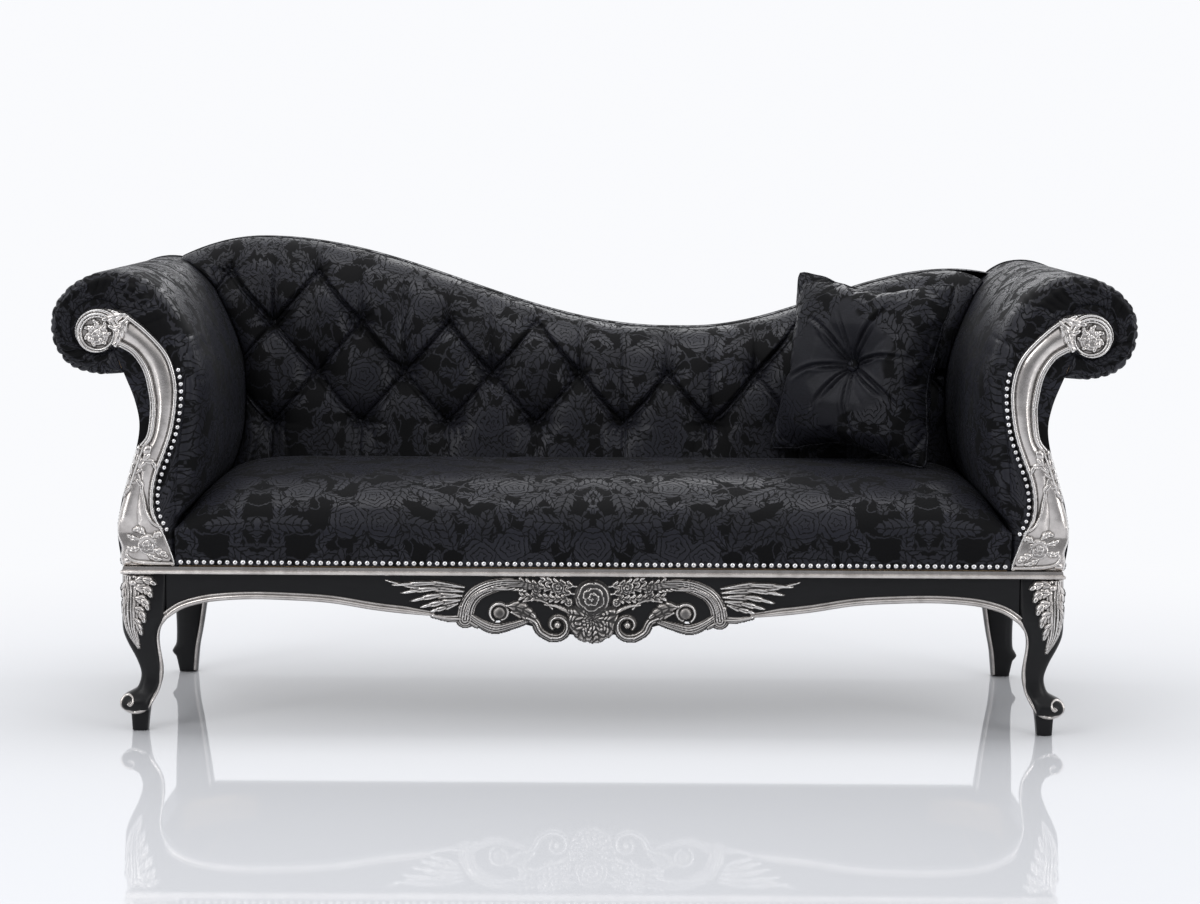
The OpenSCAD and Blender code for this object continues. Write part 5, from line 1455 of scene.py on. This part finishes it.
# %% Side panels
arm_side = even(smooth([[-2, 1], [5, 40], [6, 75], [-4, 130], [-24, 195], [-36, 258],
                        [-28, 308], [-9, 357]], 10), 90)
side_out = -beside(arm_side, 1.0) + arm_side
rows = []
depth_rows = np.concatenate([[0, 2, 5, 10, 18, 30], np.linspace(50, 620, 46)])
reach_rear = plane_y(arm_side[:, 1], PANEL_T) - GAP - ARM_Y
for s in depth_rows:
    deep = np.minimum(s, reach_rear) if s < 620 else reach_rear
    t = s / 620
    crown = 2.6 * unit(np.sin(np.pi * min(t, 1))) ** 0.5 \
        * np.sin(np.pi * np.linspace(0, 1, 90)) ** 0.5
    crown = crown + 0.5 * np.sin(arm_side[:, 1] / 31 + s / 47)
    skin_line = arm_side + side_out * -crown[:, None]
    rows.append(np.stack([skin_line[:, 0], ARM_Y - 0.1 + deep, skin_line[:, 1]], 1))
outer = np.array(rows)
inner_line = beside(arm_side, PANEL_T)
inner = listed((inner_line[:, 0], outer[..., 1], inner_line[:, 1]))
faces = two_skins(*outer.shape[:2])
side_run = length_along(arm_side)
cloth = listed((outer[..., 1], side_run))
for side, name in SIDES:
    points = placed_at(side, np.vstack([outer.reshape(-1, 3), inner]))
    panel = make(name + "_side_panel", points, faces, DAMASK,
                 cloth=np.vstack([cloth, cloth]) * (side, 1))
    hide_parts(name + "_arm_panel")
    told(panel)

# %% Front lining
lining_edge = np.vstack([arm_core[::-1][1:], arm_side[1:]])
n = len(lining_edge)
faces = [list(range(n)), list(range(n, 2 * n))[::-1]]
faces += [[k, k + n, (k + 1) % n + n, (k + 1) % n] for k in range(n)]
for side, name in SIDES:
    points = placed_at(side, [(out, ARM_Y - depth, up) for depth in (1.4, 0.1)
                              for out, up in lining_edge])
    lining = make(name + "_front_lining", points, faces, DAMASK_BACK, flat=True)
    told(lining)

# %% Rear piping
arm_rear = np.vstack([arm_side, arm_skin[::-1]])
left_part = np.stack([-RAIL_HALF - arm_rear[:, 0], arm_rear[:, 1]], 1)
under_crest = left_part[:, 1] < crest(np.clip(left_part[:, 0], -BACK_WIDE, 0)) + 2
last = np.argmax(under_crest & (left_part[:, 0] > -BACK_WIDE)
                 & (np.arange(len(left_part)) > len(arm_side)))
left_part = left_part[:last]
top_x = np.linspace(left_part[-1, 0] + 6, BACK_WIDE, 240)
top_line = np.stack([top_x, crest(top_x)], 1)
right_side = np.stack([RAIL_HALF + arm_rear[:, 0], arm_rear[:, 1]], 1)
stop = np.argmax((right_side[:, 1] < crest(np.clip(right_side[:, 0], 0, BACK_WIDE)))
                 & (right_side[:, 0] < BACK_WIDE)
                 & (np.arange(len(right_side)) > len(arm_side)))
right_side = right_side[:stop][::-1]
rear_line = even(np.vstack([left_part, top_line, right_side]), 700)


def cord(name, path, radius, finish, body="frame", sides=10, closed=False):
    """A round cord of cloth along a 3-D path."""
    way = np.gradient(path, axis=0)
    if closed:
        way = np.roll(path, -1, 0) - np.roll(path, 1, 0)
    way /= np.linalg.norm(way, axis=1)[:, None] + 1e-9
    first = np.cross(way, [0, 1, 0.17])
    first /= np.linalg.norm(first, axis=1)[:, None] + 1e-9
    second = np.cross(way, first)
    angle = np.linspace(0, 2 * np.pi, sides, endpoint=False)
    ring = (np.cos(angle)[None, :, None] * first[:, None]
            + np.sin(angle)[None, :, None] * second[:, None]) * radius
    points = (path[:, None] + ring).reshape(-1, 3)
    faces = grid_faces(len(path), sides, wrap=True)
    n = len(path)
    if closed:
        faces += [[(n - 1) * sides + k, (n - 1) * sides + (k + 1) % sides, (k + 1) % sides, k]
                  for k in range(sides)]
    else:
        faces += [list(range(sides))[::-1], [(n - 1) * sides + k for k in range(sides)]]
    u = np.tile(angle * radius, n)
    v = np.repeat(length_along(path), sides)
    return make(name, points, faces, finish, body, cloth=np.stack([u, v], 1))


piping = np.stack([rear_line[:, 0], plane_y(rear_line[:, 1], 2.0), DECK + rear_line[:, 1]], 1)
told(cord("rear_piping", piping, 2.6, DAMASK))

# %% Crest wrap
top_x = np.linspace(-BACK_WIDE + 1, BACK_WIDE - 1, 260)
section = np.array([[0.3, 0.1], [0.3, 1.1], [3, 1.9], [12, 2.3], [24, 2.3], [33, 2.0],
                    [38, 1.2], [38, 0.1]])
ring = len(section)
top_up = crest(top_x)
points = listed((top_x[:, None],
                 plane_y(top_up[:, None], 0) - section[:, 0] / math.cos(RAKE),
                 DECK + top_up[:, None] + section[:, 1]))
faces = grid_faces(260, ring, wrap=True)
faces += [list(range(ring))[::-1], [259 * ring + k for k in range(ring)]]
cloth = np.stack([points[:, 0], points[:, 1] * 0.3 + points[:, 2]], 1)
told(make("crest_wrap", points, faces, DAMASK, cloth=cloth))

# %% [markdown]
# ## The outside back and the dust cloth
# The last panel that an upholsterer closes is the outside back: one cloth, cut to the whole
# outline and laid over a thin wadding, so it stands a little proud and falls to its piping.
# A triangulation that keeps the outline's edges fills any outline, so it is made that way.
# Underneath, a black cloth is stapled round the deck. It sags a little in the middle and
# puckers at the staples.

# %% Rear panel
rear_edge = even(rear_line, 420)
grid = np.stack(np.meshgrid(np.arange(-990, 991, 16.0), np.arange(12, 590, 16.0)), -1)
grid = grid.reshape(-1, 2)
border = np.vstack([rear_edge, even(rear_edge[[-1, 0]], 110)])
gap = np.array([np.hypot(*(border - spot).T).min() for spot in grid])
grid = grid[inside(*grid.T, rear_edge) & (gap > 6)]
edge_count = len(rear_edge)
spots, _, triangles, *_ = delaunay_2d_cdt(
    [Vector(spot) for spot in np.vstack([rear_edge, grid])],
    [(k, (k + 1) % edge_count) for k in range(edge_count)], [list(range(edge_count))], 1, 1e-5)
spots = np.array([list(spot) for spot in spots])
gap = np.array([np.hypot(*(border - spot).T).min() for spot in spots])
proud = unit(gap / 12) * (2.4 * (1 - np.exp(-gap / 24))
                          + 0.35 * np.sin(spots[:, 0] / 67 + spots[:, 1] / 90))
x, up = spots.T
points = listed(*((x, plane_y(up, depth) + lift, DECK + up)
                  for depth, lift in ((0.2, proud), (3.8, 0))))
count = len(spots)
sides = {pair for a, b, c in triangles for pair in ((a, b), (b, c), (c, a))}
open_sides = sorted((a, b) for a, b in sides if (b, a) not in sides)
faces = [list(face) for face in triangles] + [[k + count for k in face[::-1]]
                                              for face in triangles]
faces += [[b, a, a + count, b + count] for a, b in open_sides]
rear_panel = make("rear_panel", points, faces, DAMASK_BACK)
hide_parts("back_panel")
told(rear_panel)

# %% Dust cloth
low, high = (np.array(corner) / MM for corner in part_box("dust_cover"))
along, across = 170, 64
u, v = np.meshgrid(np.linspace(0, 1, along), np.linspace(0, 1, across), indexing="ij")
x, y = low[0] + (high[0] - low[0]) * u, low[1] + (high[1] - low[1]) * v
to_end = np.minimum(x - low[0], high[0] - x)
to_edge = np.minimum(to_end, np.minimum(y - low[1], high[1] - y))
sag = 5.0 * (np.sin(np.pi * u) * np.sin(np.pi * v)) ** 0.6
pucker = 0.7 * np.exp(-to_edge / 34) * unit(to_edge / 8) \
    * np.cos(np.where(to_edge == to_end, y, x) / 8.0)
under = high[2] - 0.9 - sag - pucker
points = listed((x, y, under), (x, y, under + 0.8))
dust_cloth = make("dust_cloth", points, two_skins(along, across), FINISHES["dust_cloth"])
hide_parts("dust_cover")
tuple((high - low)[:2] * MM)
told(dust_cloth)

# %% [markdown]
# ## Nails and buttons by Geometry Nodes
# More than a hundred and fifty nails follow two kinds of line: 107 the seat's front and 24
# the inner edge of each facing. The back's buttons and the pillow's two sit on points.
# Repeating one small form along a line or on points is what Geometry Nodes do best: the
# spacing and the size stay named inputs, and a fixed seed gives each nail a slightly
# different tilt, as a hammer does.

# %% A tree for repeats
class Pattern(Finish):
    """A Geometry Nodes tree, written one node at a time like a finish."""

    def __init__(self, name, inputs):
        self.tree = bpy.data.node_groups.new(name, "GeometryNodeTree")
        self.tree.interface.new_socket("Geometry", in_out="INPUT",
                                       socket_type="NodeSocketGeometry")
        self.ids = {}
        for key, value in inputs.items():
            kind = "NodeSocketInt" if isinstance(value, int) else "NodeSocketFloat"
            made = self.tree.interface.new_socket(key, in_out="INPUT", socket_type=kind)
            made.default_value = value
            self.ids[key] = made.identifier
        self.tree.interface.new_socket("Geometry", in_out="OUTPUT",
                                       socket_type="NodeSocketGeometry")
        self.group = self.tree.nodes.new("NodeGroupInput")

    def given(self, key):
        return Wire(self, self.group.outputs[key])

    def closing(self, geometry, finish):
        """Every tree ends the same way: real copies, smooth faces and a material."""
        real = self.node("GeometryNodeRealizeInstances", values={"Geometry": geometry})
        even_faces = self.node("GeometryNodeSetShadeSmooth", values={"Geometry": real})
        done = self.node("GeometryNodeSetMaterial", values={"Geometry": even_faces,
                                                            "Material": finish})
        self.node("NodeGroupOutput", values={"Geometry": done})

    def applied(self, name, points, edges, slot, body="frame", **values):
        """Run the tree on a few points or lines and keep the result as a plain mesh."""
        seed = bpy.data.meshes.new(name + "_line")
        seed.from_pydata((np.asarray(points) * MM).tolist(), edges, [])
        host = bpy.data.objects.new(name + "_line", seed)
        collection.objects.link(host)
        modifier = host.modifiers.new("repeat", "NODES")
        modifier.node_group = self.tree
        for key, value in values.items():
            modifier[self.ids[key]] = value
        mesh = modified(host)
        bpy.data.objects.remove(host)
        bpy.data.meshes.remove(seed)
        mesh.name = name
        made = bpy.data.objects.new(name, mesh)
        collection.objects.link(made)
        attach(made, body)
        return made


def nail_tree():
    nails = Pattern("nail_row", {"Spacing": 0.0143, "Radius": 0.005, "Dome": 0.003, "Seed": 3})
    line = nails.node("GeometryNodeMeshToCurve", values={"Mesh": nails.given("Geometry")})
    spots = nails.node("GeometryNodeResampleCurve", {"mode": "LENGTH"},
                       {"Curve": line, "Length": nails.given("Spacing")})
    ball = nails.node("GeometryNodeMeshUVSphere", values={
        "Segments": 12, "Rings": 8, "Radius": 1.0})
    size = nails.join(nails.given("Radius"), nails.given("Dome"), nails.given("Radius"))
    head = nails.node("GeometryNodeTransform", values={"Geometry": ball, "Scale": size})
    tilt = nails.node("FunctionNodeRandomValue", {"data_type": "FLOAT_VECTOR"},
                      {0: (-0.16, -0.3, -0.16), 1: (0.16, 0.3, 0.16),
                       "Seed": nails.given("Seed")})
    grow = nails.node("FunctionNodeRandomValue", {"data_type": "FLOAT"},
                      {2: 0.93, 3: 1.05, "Seed": nails.given("Seed") + 1.0}, output=1)
    rows = nails.node("GeometryNodeInstanceOnPoints", values={
        "Points": spots, "Instance": head, "Rotation": tilt, "Scale": grow})
    nails.closing(rows, NICKEL)
    return nails


def button_tree():
    tree = Pattern("covered_buttons", {"Radius": 0.011, "Dome": 0.0055, "Lean": 0.0,
                                       "Turn": 0.0})
    spots = tree.node("GeometryNodeMeshToPoints", values={"Mesh": tree.given("Geometry")})
    ball = tree.node("GeometryNodeMeshUVSphere", values={
        "Segments": 28, "Rings": 16, "Radius": 1.0})
    radius = tree.given("Radius")
    head = tree.node("GeometryNodeTransform", values={
        "Geometry": ball, "Scale": tree.join(radius, tree.given("Dome"), radius)})
    x, _, z = tree.parts(tree.node("GeometryNodeInputPosition"))
    angle = z.angle_to(x)
    out = (x * x + z * z).root() / radius
    pleat = (angle * 9.0).sin() * out * (1.0 - out).larger(0.0) * 0.0011
    shaped = tree.node("GeometryNodeSetPosition", values={
        "Geometry": head, "Offset": tree.join(0.0, pleat, 0.0)})
    rows = tree.node("GeometryNodeInstanceOnPoints", values={
        "Points": spots, "Instance": shaped,
        "Rotation": tree.join(tree.given("Lean"), 0.0, tree.given("Turn"))})
    tree.closing(rows, DAMASK_BACK)
    return tree


NAILS, COVERED = nail_tree(), button_tree()
print("trees:", NAILS.tree.name, COVERED.tree.name)

# %% Nails
seat_row = [[-762, SEAT_Y + 0.6, DECK + 8], [762, SEAT_Y + 0.6, DECK + 8]]
nails = NAILS.applied("seat_nail_row", seat_row, [(0, 1)], "nickel", Spacing=0.0143,
                      Radius=0.0050, Dome=0.0034, Seed=3)
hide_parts("seat_nails")
told(nails)
HEAD_OUT = 3.6
nail_path = beside(facing_inner, 6.5)
nail_path = even(nail_path[(nail_path[:, 1] > 60) & (nail_path[:, 1] < 372)], 60)
for side, name in SIDES:
    skin_at = spots_of(bpy.data.objects[name + "_arm_cover"].data) / MM
    skin_at = skin_at[skin_at[:, 1] < ARM_Y + 6]
    line = placed_at(side, [(out, ARM_Y - HEAD_OUT, up) for out, up in nail_path])
    for spot in line:
        near = skin_at[np.hypot(skin_at[:, 0] - spot[0], skin_at[:, 2] - spot[2]) < 5]
        if len(near):
            spot[1] = min(spot[1], near[:, 1].min() + 0.4)
    line[2:-2, 1] = np.convolve(line[:, 1], np.full(5, 0.2), "valid")
    print(name, "nails stand", (ARM_Y - HEAD_OUT - line[:, 1]).max().round(1),
          "mm further out")
    links = [(k, k + 1) for k in range(len(line) - 1)]
    row = NAILS.applied(name + "_facing_nail_row", line, links, "nickel", Spacing=0.0128,
                        Radius=0.0044, Dome=0.0034, Seed=5 + side)
    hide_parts(name + "_facing_nails")
    told(row)

# %% Buttons
button_x, button_up = buttons.T
plain, full = padding(button_x, button_up)
sunk = plain + full * tuft(button_x, button_up)
spots = np.stack([button_x, sunk - 2.5, DECK + button_up], 1)
back_buttons = COVERED.applied("back_button_row", spots, [], "damask", Radius=0.0115,
                               Dome=0.0062, Lean=-RAKE)
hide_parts("back_buttons")
told(back_buttons)

# %% [markdown]
# ## The loose pillow
# The pillow is a square bag of satin, blown up by its filling and held in by one button.
# That is a job for the cloth solver: a slack pad is remeshed evenly, its middle and its
# seam are pinned, and pressure inside it swells it to the fill of a real one. The creases
# that run from the button, the fine pleats at the seam and the cord are drawn afterwards.

# %% Let cloth swell
FRAMES, SLACK = 20, 0.05


def swell(mesh, voxel, pressure, cap, held):
    """Swell a closed pad by pressure. held gives 0 to 1 for each point: 1 stays put. No
    point moves further than cap, in metres."""
    pad = bpy.data.objects.new("swelling", mesh)
    collection.objects.link(pad)
    even_mesh = pad.modifiers.new("even", "REMESH")
    even_mesh.mode, even_mesh.voxel_size = "VOXEL", voxel
    fine = modified(pad)
    pad.modifiers.clear()
    pad.data = fine
    start = spots_of(fine)
    pins = pad.vertex_groups.new(name="pins")
    for index, weight in enumerate(held(start)):
        if weight > 0.01:
            pins.add([index], float(weight), "REPLACE")
    cloth = pad.modifiers.new("swell", "CLOTH")
    rule = cloth.settings
    rule.quality, rule.mass, rule.air_damping = 6, 0.25, 1.5
    rule.tension_stiffness = rule.compression_stiffness = 12
    rule.shear_stiffness, rule.bending_stiffness = 5, 0.12
    rule.use_pressure, rule.uniform_pressure_force = True, pressure
    rule.shrink_min = -SLACK
    rule.vertex_group_mass = "pins"
    rule.effector_weights.gravity = 0
    cloth.collision_settings.use_collision = False
    cloth.point_cache.frame_start, cloth.point_cache.frame_end = 1, FRAMES
    scene = bpy.context.scene
    for step in range(1, FRAMES + 1):
        scene.frame_set(step)
    move = spots_of(modified(pad)) - start
    far = np.linalg.norm(move, axis=1)
    move *= (np.minimum(far, cap) / np.maximum(far, 1e-9))[:, None]
    fine.vertices.foreach_set("co", (start + move).ravel())
    fine.update()
    scene.frame_set(1)
    pad.modifiers.clear()
    print("swelled", len(start), "points, at most", round(float(far.max()) * 1000, 1), "mm")
    finer = pad.modifiers.new("finer", "SUBSURF")
    finer.levels = finer.render_levels = 1
    done = modified(pad)
    bpy.data.objects.remove(pad)
    return done


# %% Pillow
PILLOW_W, PILLOW_T = 366, 120
AROUND, LEAN, TILT = (math.radians(angle) for angle in (-36, -12.5, 2.5))
TURN = np.array(Matrix.Rotation(AROUND, 3, "Z") @ Matrix.Rotation(LEAN, 3, "X")
                @ Matrix.Rotation(TILT, 3, "Y"))


def pillow_shape(u, v, width, thick, least=0.0):
    """Half thickness and place of a pillow's skin at the shares u and v of its width."""
    far = np.maximum(np.abs(u), np.abs(v))
    near = np.minimum(np.abs(u), np.abs(v))
    draw = 1 - 0.07 * far ** 4 * (1 - (near / np.maximum(0.001, far)) ** 2)
    out = np.hypot(u, v) * width / 2
    h = thick / 2 * np.sqrt(unit((1 - u * u) * (1 - v * v))) \
        - 0.3 * thick * bell(out, 26)
    return u * width / 2 * draw, np.maximum(h, least), v * width / 2 * draw


N = 56
edge = np.sin(np.linspace(-1, 1, N) * 1.3) / math.sin(1.3)
u, v = np.meshgrid(edge, edge, indexing="ij")
x, h, z = pillow_shape(u, v, PILLOW_W * 0.985, PILLOW_T * 0.93, least=3.6)
points = listed((x, -h, z), (x, h, z))
low, high = (np.array(p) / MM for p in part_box("pillow_cover"))
bag = bpy.data.meshes.new("pillow_bag")
bag.from_pydata((points * MM).tolist(), [], two_skins(N, N))


def pillow_held(spots):
    """Where the bag is pinned: its middle, and its seam all round."""
    x, y, z = np.abs(spots.T) / MM
    out = np.hypot(x, z)
    share = np.maximum(x, z) / (PILLOW_W / 2)
    seam = unit((share - 0.935) / 0.03) * (y < 9)
    return np.maximum(unit((17 - out) / 6), seam * 0.9)


blown = swell(bag, 0.0048, 5.5, 0.015, pillow_held)
spots = spots_of(blown) / MM
out = np.hypot(spots[:, 0], spots[:, 2])
turn = np.arctan2(spots[:, 2], spots[:, 0])
face_side = np.sign(spots[:, 1])
CREASES = [(-172, 135, 3.6, 4.6, 14), (-150, 90, 2.6, 3.6, -10), (-128, 120, 3.4, 4.4, 12),
           (-104, 100, 2.8, 3.8, -8), (-82, 140, 3.8, 4.6, 10), (-57, 95, 2.6, 3.8, -12),
           (-33, 125, 3.4, 4.4, 9), (-9, 150, 4.0, 4.8, -9), (14, 90, 2.6, 3.6, 12),
           (36, 135, 3.6, 4.6, -14), (60, 100, 2.8, 3.8, 8), (83, 150, 4.0, 4.8, -10),
           (107, 110, 3.0, 4.0, 12), (131, 140, 3.8, 4.6, 14), (155, 95, 2.8, 3.8, -9)]
depth = 1.1 * np.abs(np.cos(turn * 11 + 0.9)) ** 2 * bell(out - 20, 10)
for angle, reach, deep, wide, bend in CREASES:
    swing = np.radians(angle + bend * np.clip(out / 100, 0, 2) + 9 * face_side)
    aside = np.arctan2(np.sin(turn - swing), np.cos(turn - swing))
    lateral = out * np.sin(np.clip(aside, -1.5, 1.5))
    fade = unit((out - 9) / 10) * unit(1 - out / reach) ** 0.7
    broad = wide * (0.31 + out / 185)
    near = np.abs(aside) < 1.4
    off = lateral / broad
    depth += near * fade * 3.3 * deep * (bell(off, 1) - 0.45 * bell(off - 1.9, 1)
                                         - 0.30 * bell(off + 1.9, 1))
along_edge = np.where(np.abs(spots[:, 0]) > np.abs(spots[:, 2]), spots[:, 2], spots[:, 0])
to_seam = PILLOW_W / 2 - np.maximum(np.abs(spots[:, 0]), np.abs(spots[:, 2]))
pucker = 1.3 * np.abs(np.sin(along_edge / 8.5)) ** 2 * bell(to_seam - 20, 12)
spots[:, 1] -= face_side * (depth + pucker) * unit(np.abs(spots[:, 1]) / 8)
fill_u, fill_v = unit(np.abs(spots[:, [0, 2]]) / (PILLOW_W / 2 - 30.4)).T
core = (PILLOW_T / 2 - 12.4) * (np.sqrt((1 - fill_u ** 2) * (1 - fill_v ** 2))
                                - 0.6 * bell(out, 26))
core = np.where(core > 0, core + 1.2, 0)
spots[:, 1] = face_side * np.maximum(np.abs(spots[:, 1]), core)
cloth = np.stack([spots[:, 0] * face_side + 71, spots[:, 2] + 120], 1)
rounds = 288
sector = np.floor((turn + np.pi) / (2 * np.pi) * rounds).astype(int) % rounds
seam_line = np.zeros((rounds, 3))
for k in range(rounds):
    bunch = spots[sector == k]
    reach = np.hypot(bunch[:, 0], bunch[:, 2])
    brim = bunch[reach > reach.max() - 4]
    angle = (k + 0.5) * 2 * np.pi / rounds - np.pi
    far = reach.max() - 0.4
    seam_line[k] = far * math.cos(angle), brim[:, 1].mean(), far * math.sin(angle)
seam_line = sum(np.roll(seam_line, step, 0) * share
                for step, share in zip(range(-2, 3), (0.1, 0.2, 0.4, 0.2, 0.1)))
x, h, z = pillow_shape(u, v, PILLOW_W, PILLOW_T)
ideal = listed((x, -h, z), (x, h, z)) @ TURN.T
shift = (low + high) / 2 - (ideal.min(0) + ideal.max(0)) / 2
placed = spots @ TURN.T + shift
polygons = [list(p.vertices) for p in blown.polygons]
pillow = make("pillow_satin", placed, polygons, SATIN, "pillow", cloth=cloth)
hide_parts("pillow_cover")
seam = cord("pillow_seam", seam_line @ TURN.T + shift, 1.9, SATIN, "pillow", sides=8,
            closed=True)
centre = np.array([[0, s * (PILLOW_T * 0.2 + 6.5), 0] for s in (-1, 1)]) @ TURN.T + shift
pillow_buttons = COVERED.applied("pillow_button_pair", centre, [], "damask", "pillow",
                                 Radius=0.0125, Dome=0.0078, Lean=LEAN, Turn=AROUND)
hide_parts("pillow_buttons")
told(pillow, seam, pillow_buttons)
print("pillow box", placed.min(0).round(), placed.max(0).round(), "node", low.round(),
      high.round())

# %% [markdown]
# ## Floor, backdrop and light
# The photograph is a studio shot on white. The world is white to the camera and to gloss,
# but for the room behind the camera, which is dimmer: that is what gives the silver its
# darks. The lamps light the chaise at a plain level.

# %% Studio
def floor_white():
    """White tiles with a soft reflection, which end in plain white behind the chaise."""
    tile = Finish("studio_floor")
    seen = tile.node("ShaderNodeLightPath", output=0)
    x, y, _ = tile.place()
    away = (x * x + (y + 0.9) * (y + 0.9)).root()
    beyond = away.step(1.5, 3.0) * seen
    gloss = tile.node("ShaderNodeBsdfPrincipled", values={
        "Base Color": (0.75, 0.76, 0.79, 1), "Roughness": 0.03,
        "Specular IOR Level": 0.45})
    glow = tile.node("ShaderNodeEmission", values={"Color": (0.955, 0.962, 0.985, 1),
                                                    "Strength": 1.0})
    both = tile.node("ShaderNodeMixShader", values={0: beyond, 1: gloss, 2: glow})
    tile.node("ShaderNodeOutputMaterial", values={"Surface": both})
    return tile.material


ground = bpy.data.meshes.new("floor")
ground.from_pydata([(-9, -9, 0), (9, -9, 0), (9, 9, 0), (-9, 9, 0)], [], [[0, 1, 2, 3]])
ground.materials.append(floor_white())
made = bpy.data.objects.new("floor", ground)
collection.objects.link(made)
world = bpy.data.worlds.new("studio")
bpy.context.scene.world = world
world.use_nodes = True
sky = Finish.__new__(Finish)
sky.tree = world.node_tree
sky.tree.nodes.clear()
rays = [sky.node("ShaderNodeLightPath", output=i) for i in (0, 3, 6)]
seen = rays[0].larger(rays[1]).larger(rays[2])
_, to_rear, upwards = sky.parts(sky.node("ShaderNodeTexCoord", output=0))
room = (to_rear * -1.0).step(0.2, 0.95) * (1.0 - upwards.step(0.2, 0.7))
shown = sky.mix(room * (1.0 - rays[0]), (0.955, 0.962, 0.985), (0.26, 0.265, 0.28))
white = sky.node("ShaderNodeBackground", values={"Color": shown, "Strength": 1.0})
even_light = sky.mix(room, (0.97, 0.98, 1.0), (0.24, 0.245, 0.26))
soft = sky.node("ShaderNodeBackground", values={"Color": even_light, "Strength": 0.85})
both = sky.node("ShaderNodeMixShader", values={0: seen, 1: soft, 2: white})
sky.node("ShaderNodeOutputWorld", values={"Surface": both})


def lamp(name, place, aim, size, power):
    light = bpy.data.lights.new(name, "AREA")
    light.shape = "RECTANGLE"
    light.size, light.size_y = size
    light.energy = power
    made = bpy.data.objects.new(name, light)
    collection.objects.link(made)
    made.visible_camera = False
    made.location = place
    made.rotation_euler = (Vector(aim) - Vector(place)).to_track_quat("-Z", "Y").to_euler()


lamp("key", (-2.6, -3.4, 3.4), (0, 0, 0.45), (2.0, 2.0), 40)
lamp("fill", (3.2, -3.0, 2.2), (0, 0, 0.45), (1.8, 1.8), 18)
lamp("strip_left", (-3.3, -2.9, 1.2), (-0.5, -0.3, 0.5), (0.45, 2.2), 13)
lamp("strip_right", (3.3, -2.9, 1.2), (0.5, -0.3, 0.5), (0.45, 2.2), 13)
lamp("top", (0.0, 0.3, 3.6), (0, 0, 0.4), (3.0, 1.6), 40)
lamp("rear", (0.5, 3.4, 2.6), (0, 0, 0.5), (2.4, 1.4), 20)
bpy.context.scene.view_settings.view_transform = "Standard"
print("studio ready")
